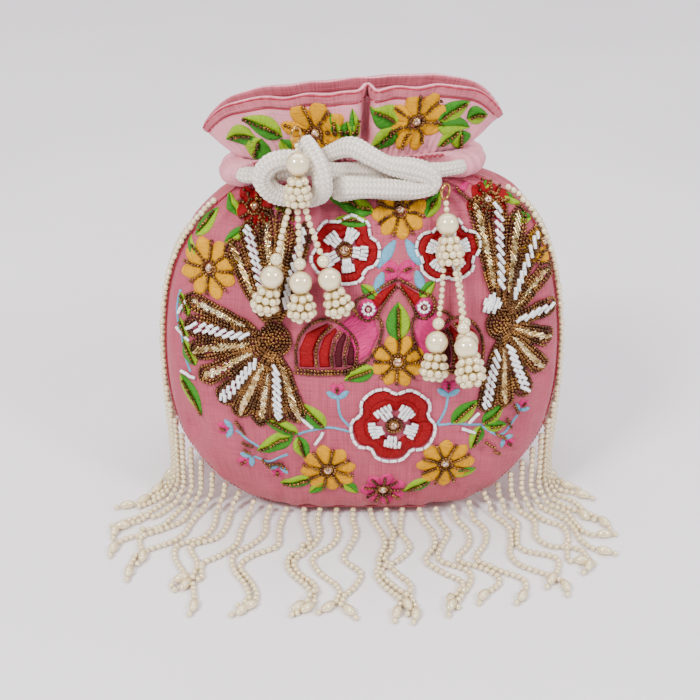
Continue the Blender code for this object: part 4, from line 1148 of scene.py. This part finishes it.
def lining():
    """Inner bag, seen through the mouth."""
    z = np.linspace(12.0, 170.5, 50)
    half, seam, bulge, shift = profile_at(z)
    turns = np.linspace(0, math.tau, 100, endpoint=False)
    layers = []
    for inset in (3.0, 3.8):
        swell = 1 + 0.012 * np.cos(17 * turns)[None] * smooth(z / 160)[:, None]
        x = shift[:, None] + (half[:, None] - inset) * np.sin(turns)[None] * swell
        front = np.cos(turns)[None]
        y = -(seam[:, None] - inset * 0.4) * np.clip(front * 6, -1, 1) - (
            bulge[:, None] - inset * 0.6) * front
        layers.append(lean(np.stack([x, y, np.broadcast_to(z[:, None], x.shape)], -1)))
    uv = np.stack(np.broadcast_arrays(turns[None] * 60, z[:, None]), -1)
    mesh = Mesh()
    shell(mesh, *layers, uv, wrap=True)
    mesh.build("lining_cloth", [M["lining"]], replaces=["lining"], slot="lining")


def ruffle(name, facing):
    rows, cols = 42, 210
    v = np.concatenate([np.linspace(0, 0.8, 24, endpoint=False), np.linspace(0.8, 1.0, rows - 24)])
    u = np.linspace(-1, 1, cols)
    uu, vv = np.meshgrid(u, v)
    hem = smooth((vv - 0.845) / 0.02) * (1 - 0.75 * smooth((vv - 0.97) / 0.03))
    roll = 0.75 * hem - 0.35 * np.exp(-((vv - 0.855) / 0.012) ** 2)
    roll = roll + 0.35 * np.exp(-((vv - 0.98) / 0.012) ** 2) * np.sin(uu * 70 + 3 * np.sin(9 * uu))
    cloth = Cloth(lambda a, b: ruffle_point(a, b, facing), (0.006, 0.01))
    flat = np.stack([uu, vv], -1)
    outer, normal = cloth.at(flat.reshape(-1, 2), roll.ravel())
    outer, normal = outer.reshape(rows, cols, 3), normal.reshape(rows, cols, 3) * facing
    if facing < 0:
        outer = cloth.at(flat.reshape(-1, 2), -roll.ravel())[0].reshape(rows, cols, 3)
    inner = outer - normal * (1.1 + 0.5 * hem + roll)[..., None]
    uv = np.stack([uu * 64, vv * 34], -1)
    mesh = Mesh()
    shell(mesh, outer, inner, uv, flip=facing < 0)
    faces = grid_faces(rows, cols)
    hem_face = flat[..., 1].ravel()[faces].mean(1) > HEM_FROM
    mesh.slots[0] = np.where(hem_face, 1, 0)
    mesh.slots[1] = np.where(hem_face, 1, 0)
    mesh.build(f"{name}_cloth", [M["silk"], M["hem"]], replaces=[name], slot="silk")
    stitches(cloth, facing, name)


def stitches(cloth, facing, name):
    """Running stitches along the hem, in and out of the cloth."""
    mesh = Mesh()
    for v, lift in ((0.835, 0.16), (0.985, 0.75)):
        u = np.arange(-0.985, 0.985, 0.026)
        ab = np.stack([u, np.full(len(u), v)], 1)
        points, normal = cloth.at(ab, np.full(len(u), lift * facing))
        along = np.gradient(points, axis=0)
        scatter(mesh, BUGLE, points, along, 0.3, 1.05)
    mesh.build(f"{name}_stitches", [M["stitch"]], slot="silk")


def seam_stitches():
    """Small red stitches that close the front seam and the casing."""
    mesh = Mesh()
    for side in (-1, 1):
        rows = DENSE[10:-4:5]
        x = rows[:, 4] + side * rows[:, 1] * 1.0
        points = lean(np.stack([x, -rows[:, 2] - 0.1, rows[:, 0]], 1))
        along = np.gradient(points, axis=0)
        outward = np.stack([np.full(len(rows), side * 1.0), np.full(len(rows), -0.7),
                            np.zeros(len(rows))], 1)
        scatter(mesh, BUGLE, points + unit(outward) * 0.35, along + (0, 0.9, 0), 0.28, 1.0)
    turns = np.linspace(0, math.tau, 200, endpoint=False)
    for z, tilt in ((172.6, 1.0), (183.4, -1.0)):
        loop = lean(neck_loop(z, NECK_HALF + 0.5, NECK_DEPTH + 0.7, turns))
        along = np.roll(loop, -1, 0) - loop
        zig = np.where(np.arange(200) % 2, 1.0, -1.0)[:, None] * (0, 0, 1.0)
        scatter(mesh, BUGLE, loop, unit(along) + zig * tilt, 0.26, 1.0)
    mesh.build("seam_stitches", [M["stitch"]], slot="silk")


# ---- drawstring ----------------------------------------------------------------------------
def tube(mesh, path, radius, around, flatten=None, knit_loops=0):
    """A swept tube with rounded ends; knit_loops gives the number of wales round it."""
    steps = unit(np.gradient(path, axis=0))
    side = np.zeros_like(path)
    side[0] = unit(np.cross(steps[0], (0.1, 1.0, 0.2)))
    for i in range(1, len(path)):
        side[i] = unit(side[i - 1] - steps[i] * (side[i - 1] @ steps[i]))
    other = np.cross(steps, side)
    run = np.concatenate([[0], np.cumsum(np.linalg.norm(np.diff(path, axis=0), axis=1))])
    turns = np.arange(around) * math.tau / around
    size = np.ones((len(path), around)) * radius
    if knit_loops:
        phase = knit_loops * turns[None]
        rise = math.tau * run[:, None] / COURSE
        vee = np.abs(((phase / math.tau) % 1.0) - 0.5) * 2
        size = size + 0.16 * np.cos(rise - 3.4 * vee) + 0.2 * np.cos(phase)
        size = size * (1 + 0.08 * np.sin(run / 9.0) + 0.07 * np.sin(run / 4.7 + 1))[:, None]
        size = size * (1 + 0.09 * np.sin(2 * turns[None] + run[:, None] / 8.0))
    cap = np.minimum(run, run[-1] - run)
    size *= np.sqrt(np.clip(cap / radius * (2 - np.clip(cap / radius, 0, 1)), 0.02, 1))[:, None]
    points = (path[:, None] + size[..., None] * (np.cos(turns)[None, :, None] * side[:, None]
                                                + np.sin(turns)[None, :, None] * other[:, None]))
    if flatten is not None:
        points = flatten(points, path)
    uv = np.stack(np.broadcast_arrays(turns[None] * radius, run[:, None]), -1)
    faces = grid_faces(len(path), around, wrap=True)
    start = mesh.count
    ends = np.vstack([path[:1], path[-1:]])
    mesh.add(np.vstack([points.reshape(-1, 3), ends]), faces[:, ::-1], 0,
             np.vstack([uv.reshape(-1, 2), [(0, 0), (0, run[-1])]]))
    k, n = np.arange(around), (np.arange(around) + 1) % around
    first, last = len(path) * around, len(path) * around + 1
    tail = (len(path) - 1) * around
    caps = np.vstack([np.stack([np.full(around, first), k, n], 1)[:, ::-1],
                      np.stack([np.full(around, last), tail + n, tail + k], 1)[:, ::-1]])
    mesh.faces.append(caps[:, ::-1] + start)
    mesh.slots.append(np.zeros(len(caps), int))


def drawstring():
    path = catmull(DRAWSTRING_ROUTE, CORD_STEPS)
    mesh = Mesh()

    def flatten(points, line):
        """The knit is wide and slack in front and squeezed inside the channel."""
        amount = smooth((-line[:, 1] - 14.0) / 6.0)[:, None]
        hidden = smooth((line[:, 1] + 13.0) / 4.0)[:, None]
        centred = points - line[:, None]
        centred *= 1 + (SLACK_GROWTH * amount - CHANNEL_SQUEEZE * hidden)[..., None]
        centred[..., 1] -= CHANNEL_SHIFT * hidden * smooth((line[:, 1] + 4.0) / 12.0)[:, None]
        centred[..., 1] *= 1 - 0.12 * amount
        centred[..., 2] *= 1 + 0.16 * amount
        return line[:, None] + centred

    tube(mesh, path, CORD_D / 2, CORD_AROUND, flatten, CORD_WALES)
    fuzz(mesh, path)
    obj = mesh.build("drawstring_knit", [M["knit"]], replaces=["drawstring"], slot="cotton")
    route = catmull(DRAWSTRING_ROUTE, 300) * MM


def fuzz(mesh, path):
    """Loose fibres standing off the knit, thickest at the two ends."""
    spots = np.concatenate([
        RNG.integers(0, len(path), FIBRES - LEFT_FIBRES - RIGHT_FIBRES),
        RNG.integers(0, 18, LEFT_FIBRES), RNG.integers(len(path) - 26, len(path), RIGHT_FIBRES)])
    away = unit(RNG.normal(0, 1, (FIBRES, 3)))
    roots = path[spots] + away * CORD_D / 2 * 0.9
    scatter(mesh, revolve([(-1, 0), (-0.9, 1), (0.9, 0.6), (1, 0)], 3), roots + away * 0.5,
            away + RNG.normal(0, 0.5, away.shape), 0.05, RNG.uniform(0.4, 0.9, FIBRES))


# ---- tassels -------------------------------------------------------------------------------
def frame_of(axis):
    axis = unit(axis)
    side = unit(np.cross(axis, (0.31, 0.95, 0.0)))
    return axis, side, np.cross(axis, side)


def pearl_ring(mesh, centre, axis, ring_radius, count, radius, phase=0.0, slot=0):
    _, side, other = frame_of(axis)
    turn = phase + np.arange(count) * math.tau / count
    places = centre + ring_radius * (np.cos(turn)[:, None] * side + np.sin(turn)[:, None] * other)
    places = places + RNG.normal(0, 0.12, places.shape)
    scatter(mesh, PEARL, places, places - centre + 0.01, radius, None, slot)


def pearl_bundle(name, top, bottom, rows, body, replaces, core):
    """Rings of small pearls round a thread-wrapped core. rows: (share, ring radius, count)."""
    mesh = Mesh()
    top, bottom = np.asarray(top, float), np.asarray(bottom, float)
    for number, (share, ring_radius, count) in enumerate(rows):
        pearl_ring(mesh, top + (bottom - top) * share, bottom - top, ring_radius, count, SMALL_R,
                   0.5 * number)
    pod = revolve([(-1, 0)] + [(z, 0.82 + 0.08 * (i % 2)) for i, z in enumerate(
        np.linspace(-0.95, 0.95, 9))] + [(1, 0)], 12)
    scatter(mesh, pod, (top + bottom) / 2, bottom - top, core, np.linalg.norm(bottom - top) / 2, 1)
    turn = np.arange(26) * 2.4
    length = np.linalg.norm(bottom - top)
    axis, side, other = frame_of(bottom - top)
    spots = top + axis * (np.linspace(0.1, 0.95, 26) * length)[:, None]
    reach = rows[0][1] + (rows[-1][1] - rows[0][1]) * np.linspace(0, 1, 26)
    spots = spots + reach[:, None] * (np.cos(turn)[:, None] * side + np.sin(turn)[:, None] * other)
    scatter(mesh, BUGLE, spots, RNG.normal(0, 1, (26, 3)), 0.35, 2.2, 1)
    mesh.build(name, [M["pearls"], M["thread"]], body, replaces, "pearl")


def gilt_ring(side, spec):
    centre = np.asarray(spec["ring"], float)
    turn = np.linspace(0, math.tau, 49)[:-1]
    wire = np.linspace(0, math.tau, 13)[:-1]
    reach = RING_R + RING_WIRE * np.cos(wire)[None]
    ahead = reach * np.cos(turn)[:, None] * 0.86
    thick = np.broadcast_to(RING_WIRE * np.sin(wire)[None], ahead.shape)
    cos_t, sin_t = math.cos(RING_TURN), math.sin(RING_TURN)
    points = centre + np.stack([thick * cos_t + ahead * sin_t, ahead * cos_t - thick * sin_t,
                                reach * np.sin(turn)[:, None] * 1.06], -1)
    mesh = Mesh()
    faces = grid_faces(49, 12, wrap=True) % (48 * 12)
    mesh.add(points, faces)
    return mesh.build(f"ring_{side}_wire", [M["gilt"]], f"ring_{side}",
                      [f"tassel_{side}_ring"], "gold")


def single(name, centre, axis, radius, body, node_name, template=FINE_PEARL):
    mesh = Mesh()
    scatter(mesh, template, centre, axis, radius)
    collar = np.vstack([np.asarray(centre) + unit(axis) * radius * s for s in (-0.97, 0.97)])
    scatter(mesh, SEED, collar, axis, 0.55, 0.25, 1)
    mesh.build(name, [M["pearl"], M["thread"]], body, [node_name], "pearl")


def tassel(side, spec):
    body = f"tassel_{side}"
    centre, large = np.array(spec["ring"]), np.array(spec["pearl"])
    chain = unit(large - centre)
    low_ring = centre + chain * (RING_R + RING_WIRE)
    gap = np.linalg.norm(large - low_ring) - LARGE_R
    mesh = Mesh()
    count = 2
    places = low_ring + chain * (gap * (np.arange(count) + 0.5) / count)[:, None]
    scatter(mesh, FINE_PEARL, places, chain, min(1.75, gap / count / 2 * 1.02))
    mesh.build(f"beads_{side}", [M["pearl"]], body, [f"tassel_{side}_bead_1"], "pearl")
    single(f"pearl_{side}", large, chain, LARGE_R, body, f"tassel_{side}_pearl")
    top, bottom = (np.array(p) for p in spec["cluster"])
    pearl_bundle(f"cluster_{side}", top, bottom, CLUSTER_ROWS, body, [f"tassel_{side}_cluster"],
                 CLUSTER_CORE)
    for number, cup in enumerate(spec["cups"], 1):
        pendant(side, number, top, bottom, np.array(cup))


def pendant(side, number, cluster_top, cluster_bottom, cup):
    body = f"pendant_{side}_{number}"
    start = (cluster_bottom + unit(cluster_bottom - cluster_top) * STRAND_DROP
             + PENDANT_OFFSETS[side][number - 1])
    along = unit(cup - start)
    cup_top = cup - along * CUP_HEIGHT / 2
    cup_end = cup + along * CUP_HEIGHT / 2
    ball_at = cup_top - along * (BALL_R + CUP_AXIS_GAP)
    medium_at = ball_at - along * (BALL_R + MEDIUM_R + PEARL_GAP)
    end = medium_at - along * (MEDIUM_R + PEARL_GAP)
    length = np.linalg.norm(end - start)
    count = int(round(length / STRAND_BEAD_PITCH))
    half = length / count / 2
    bow = np.sin(np.pi * (np.arange(count) + 0.5) / count)[:, None] * RNG.normal(0, 0.5, (1, 3))
    places = start + along * (half * (2 * np.arange(count) + 1))[:, None] + bow
    mesh = Mesh()
    scatter(mesh, PEARL, places, along, half * RNG.uniform(0.97, 1.05, count), half)
    mesh.build(f"strand_{side}_{number}", [M["pearls"]], body,
               [f"tassel_{side}_strand_{number}"], "pearl")
    single(f"medium_{side}_{number}", medium_at, along, MEDIUM_R, body,
           f"tassel_{side}_medium_{number}")
    single(f"ball_{side}_{number}", ball_at, along, BALL_R, body, f"tassel_{side}_ball_{number}")
    pearl_bundle(f"cup_{side}_{number}", cup_top, cup_end, CUP_ROWS, body,
                 [f"tassel_{side}_cup_{number}"], CUP_CORE)


# ---- fringe --------------------------------------------------------------------------------
def seam_samples():
    rows = np.hstack([PROFILE, outline_normals(PROFILE)])
    fine = catmull(rows, 400)
    fine[:, 0] = np.maximum(fine[:, 0], PROFILE[0, 0])
    flat = np.array([[PROFILE[0, 0], x, *PROFILE[0, 2:], 0.0, -1.0]
                     for x in np.linspace(0.0, PROFILE[0, 1], 30, endpoint=False)])
    half = np.vstack([flat, fine])[:-12]
    run = np.concatenate([[0], np.cumsum(np.linalg.norm(np.diff(half[:, :2], axis=0), axis=1))])
    at = (np.arange(int(run[-1] / STRAND_PITCH)) + 0.5) * STRAND_PITCH
    side = np.stack([np.interp(at, run, half[:, k]) for k in range(half.shape[1])], 1)
    return [(-1, s) for s in side[::-1]] + [(1, s) for s in side]


def slide(sample, height):
    z, _, seam = sample[:3]
    back = SLIDE_BACK * max(0.0, z - SLIDE_FROM_Z)
    return back * min(1.0, (z - height) / max(z - SLIDE_END_Z, 1.0)) - seam


def shoulder_route(sample):
    z = sample[0]
    rows = catmull(np.hstack([PROFILE, outline_normals(PROFILE)]), 60)
    lower = rows[(rows[:, 0] < z - 4.0) & (rows[:, 0] > WIDEST_Z + 2.0)][::-5]
    return [np.array([row[4] + row[1] + row[5] * STRAND_OFF, slide(sample, row[0]),
                      row[0] + row[6] * STRAND_OFF]) for row in lower]


def strand_line(side, sample):
    """Centreline of one strand: off the seam, down, then out on the floor."""
    z, half, seam, _, shift, nx, nz = sample
    shift, sample = shift * side, np.concatenate([sample[:4], [shift * side], sample[5:]])
    low = max(0.0, 1 - (z - PROFILE[0, 0]) / LOW_SEAM)
    hanging = z > LOW_SEAM
    floor = FRINGE_D[0] / 2
    route = [np.array([shift + half + nx * STRAND_OFF, -seam - 2.2 * low,
                       z + nz * STRAND_OFF * (1 - low * 0.35)])]
    if z > WIDEST_Z:
        route += shoulder_route(sample)
        hang_z = WIDEST_Z - 2.0
        route.append(np.array([PROFILE[:, 1].max() + STRAND_OFF, slide(sample, hang_z), hang_z]))
    side_share = np.clip((z - PROFILE[0, 0]) / SPLAY_HEIGHT, 0, 1) ** 0.8
    front_share = min(1.0, half / PROFILE[2, 1])
    angle = math.radians(90.0 - FRONT_SPLAY * front_share - SIDE_SPLAY * side_share
                         + RNG.normal(0, 5.0))
    out = np.array([math.cos(angle), -math.sin(angle), 0.0])
    across = np.array([math.sin(angle), math.cos(angle), 0.0])
    last = route[-1]
    if hanging:
        foot = floor + FOOT_RISE
        for share in HANG_SHARES:
            height = last[2] + (foot - last[2]) * share
            route.append(np.array([last[0] + 0.75 * HANG_LEAN * share, slide(sample, height),
                                   height]))
        route.append(np.array([last[0] + HANG_LEAN, slide(sample, foot), foot]) + out * FOOT_OUT)
    foot = (route[-1] * (1, 1, 0) + (0, 0, floor)
            + out * FLOOR_OUT["hanging" if hanging else "low"])
    swing, wavelength = STRAND_WAVE * RNG.uniform(0.75, 1.35, 2)
    phase = RNG.normal(0, 0.6)
    for step in range(FLOOR_STEPS):
        run = FLOOR_STEP * step
        wave = swing * min(1.0, run / 30.0) * math.sin(math.tau * run / wavelength + phase) * side
        route.append(foot + out * run + across * wave)
    line = catmull(route, 300) * (side, 1, 1)
    line[:, 2] = np.maximum(line[:, 2], floor)
    return lean(line)


def settle(beads, radii, strands, rounds=60):
    """Beads on the floor push each other apart, held at their spacing along each strand."""
    low = beads[:, 2] < SETTLE_BELOW
    index = np.where(low)[0]
    gap = np.linalg.norm(np.diff(beads, axis=0), axis=1)
    same = strands[1:] == strands[:-1]
    for _ in range(rounds):
        p = beads[index]
        delta = p[:, None] - p[None]
        dist = np.linalg.norm(delta, axis=2) + 1e-6
        want = radii[index][:, None] + radii[index][None]
        want[strands[index][:, None] == strands[index][None]] = 0.0
        push = np.clip(want - dist, 0, None)
        move = (delta / dist[..., None] * push[..., None] * 0.25).sum(1)
        move[:, 2] *= 0.5
        beads[index] += move
        step = np.diff(beads, axis=0)
        now = np.linalg.norm(step, axis=1)
        fix = step / now[:, None] * ((now - gap) * same * 0.5)[:, None]
        beads[:-1][low[:-1]] += fix[low[:-1]]
        beads[1:][low[1:]] -= fix[low[1:]]
        beads[:, 2] = np.maximum(beads[:, 2], radii)
    return beads


def fringe():
    samples = seam_samples()
    centres, radii, owners, halves = [], [], [], []
    for number, (side, sample) in enumerate(samples):
        line = strand_line(side, sample)
        sizes = np.linspace(*FRINGE_D, FRINGE_PEARLS) * RNG.uniform(0.97, 1.03, FRINGE_PEARLS)
        spans = np.concatenate([sizes, [OAT[0], END_BEAD_R * 2]])
        run = np.concatenate([[0], np.cumsum(np.linalg.norm(np.diff(line, axis=0), axis=1))])
        at = np.cumsum(spans) - spans / 2
        centres.append(np.stack([np.interp(at, run, line[:, k]) for k in range(3)], 1))
        radii.append(np.concatenate([sizes / 2, [OAT[1], END_BEAD_R]]))
        halves.append(spans / 2)
        owners.append(np.full(len(spans), number))
    centres, radii, halves = np.vstack(centres), np.concatenate(radii), np.concatenate(halves)
    owners = np.concatenate(owners)
    centres = settle(centres, radii, owners)
    per_strand = FRINGE_PEARLS + 2
    centres = centres.reshape(-1, per_strand, 3)
    radii, halves = radii.reshape(-1, per_strand), halves.reshape(-1, per_strand)
    for number, first in enumerate(range(0, len(samples), STRANDS_PER_TRIM), 1):
        mesh = Mesh()
        for k in range(first, min(first + STRANDS_PER_TRIM, len(samples))):
            line, along = centres[k], np.gradient(centres[k], axis=0)
            round_ones = np.r_[0:FRINGE_PEARLS, per_strand - 1]
            scatter(mesh, PEARL, line[round_ones], along[round_ones], radii[k][round_ones])
            scatter(mesh, OAT_BEAD, line[-2], line[-1] - line[-3], OAT[1], OAT[0] / 2)
            tube(mesh, spread(line, 40), THREAD_R, 4)
        mesh.build(f"fringe_beads_{number:02d}", [M["pearls"]],
                   replaces=[f"fringe_{number:02d}"], slot="pearl")


# ---- stage ---------------------------------------------------------------------------------
CAMERA_ELEVATION = 31.0
CAMERA_DISTANCE = 620.0
CAMERA_TARGET = (-6.0, 0.0, 72.0)
CAMERA_LENS = 60.2


def camera():
    elevation = math.radians(CAMERA_ELEVATION)
    back = Vector((0, -math.cos(elevation), math.sin(elevation)))
    cam = bpy.data.objects.new("camera", bpy.data.cameras.new("camera"))
    cam.location = (Vector(CAMERA_TARGET) + back * CAMERA_DISTANCE) * MM
    cam.rotation_mode = "QUATERNION"
    cam.rotation_quaternion = (-back).to_track_quat("-Z", "Y")
    cam.data.lens = CAMERA_LENS
    cam.data.sensor_width = 36.0
    cam.data.clip_start = 0.01
    bpy.context.scene.collection.objects.link(cam)
    bpy.context.scene.camera = cam


def backdrop():
    """Seamless paper: floor, curve and wall in one sheet."""
    turn = np.linspace(0, math.pi / 2, 16)
    radius, depth, width = 700.0, 900.0, 4000.0
    arc = [(depth + radius * math.sin(t), radius - radius * math.cos(t)) for t in turn]
    section = np.array([(-2500.0, 0.0)] + arc + [(depth + radius, 3200.0)])
    points = np.array([[(x, y, z) for x in (-width, width)] for y, z in section])
    points[..., 2] -= 0.05
    data = bpy.data.meshes.new("backdrop")
    faces = grid_faces(len(section), 2)
    data.from_pydata([tuple(p) for p in points.reshape(-1, 3) * MM], [], faces.tolist())
    data.shade_smooth()
    mat, tree, shader = new_material("paper", srgb(228, 224, 227), 0.8)
    place = node(tree, "ShaderNodeTexCoord").outputs["Object"]
    grain = node(tree, "ShaderNodeTexNoise", {"Vector": place, "Scale": 3.0, "Detail": 2.0})
    tree.links.new(ramp(tree, grain.outputs["Fac"], (0.3, srgb(236, 231, 235)),
                        (0.7, srgb(246, 241, 245))), shader.inputs["Base Color"])
    data.materials.append(mat)
    obj = bpy.data.objects.new("backdrop", data)
    bpy.context.scene.collection.objects.link(obj)


def area_light(name, place, target, size, power, colour=(1, 1, 1)):
    light = bpy.data.lights.new(name, "AREA")
    light.shape, light.size, light.size_y = "RECTANGLE", size[0], size[1]
    light.energy, light.color = power, colour
    obj = bpy.data.objects.new(name, light)
    obj.location = place
    obj.rotation_mode = "QUATERNION"
    obj.rotation_quaternion = (Vector(target) - Vector(place)).to_track_quat("-Z", "Y")
    bpy.context.scene.collection.objects.link(obj)


def lights():
    aim = (0, 0, 0.08)
    area_light("key", (-0.7, -0.75, 1.15), aim, (0.34, 0.34), 21.5, (1.0, 0.98, 0.96))
    area_light("fill", (0.85, -0.65, 1.05), aim, (0.36, 0.36), 13.0, (0.98, 0.98, 1.0))
    area_light("top", (0.0, 0.5, 1.5), aim, (1.6, 1.0), 20.0)
    world = bpy.data.worlds.new("studio")
    world.use_nodes = True
    background = world.node_tree.nodes["Background"]
    background.inputs["Color"].default_value = (0.93, 0.93, 0.95, 1)
    background.inputs["Strength"].default_value = 0.62
    bpy.context.scene.world = world


camera()
lights()
backdrop()
rings = [gilt_ring(side, spec) for side, spec in TASSELS.items()]
drawstring()
pouch_panel("front_panel_cloth", 1, "silk_panel")
pouch_panel("back_panel_cloth", -1, "silk_low")
side_band()
casing()
lining()
ruffle("ruffle_front", 1)
ruffle("ruffle_back", -1)
seam_stitches()
front_embroidery()
collar_embroidery()
for side_name, tassel_spec in TASSELS.items():
    tassel(side_name, tassel_spec)
fringe()
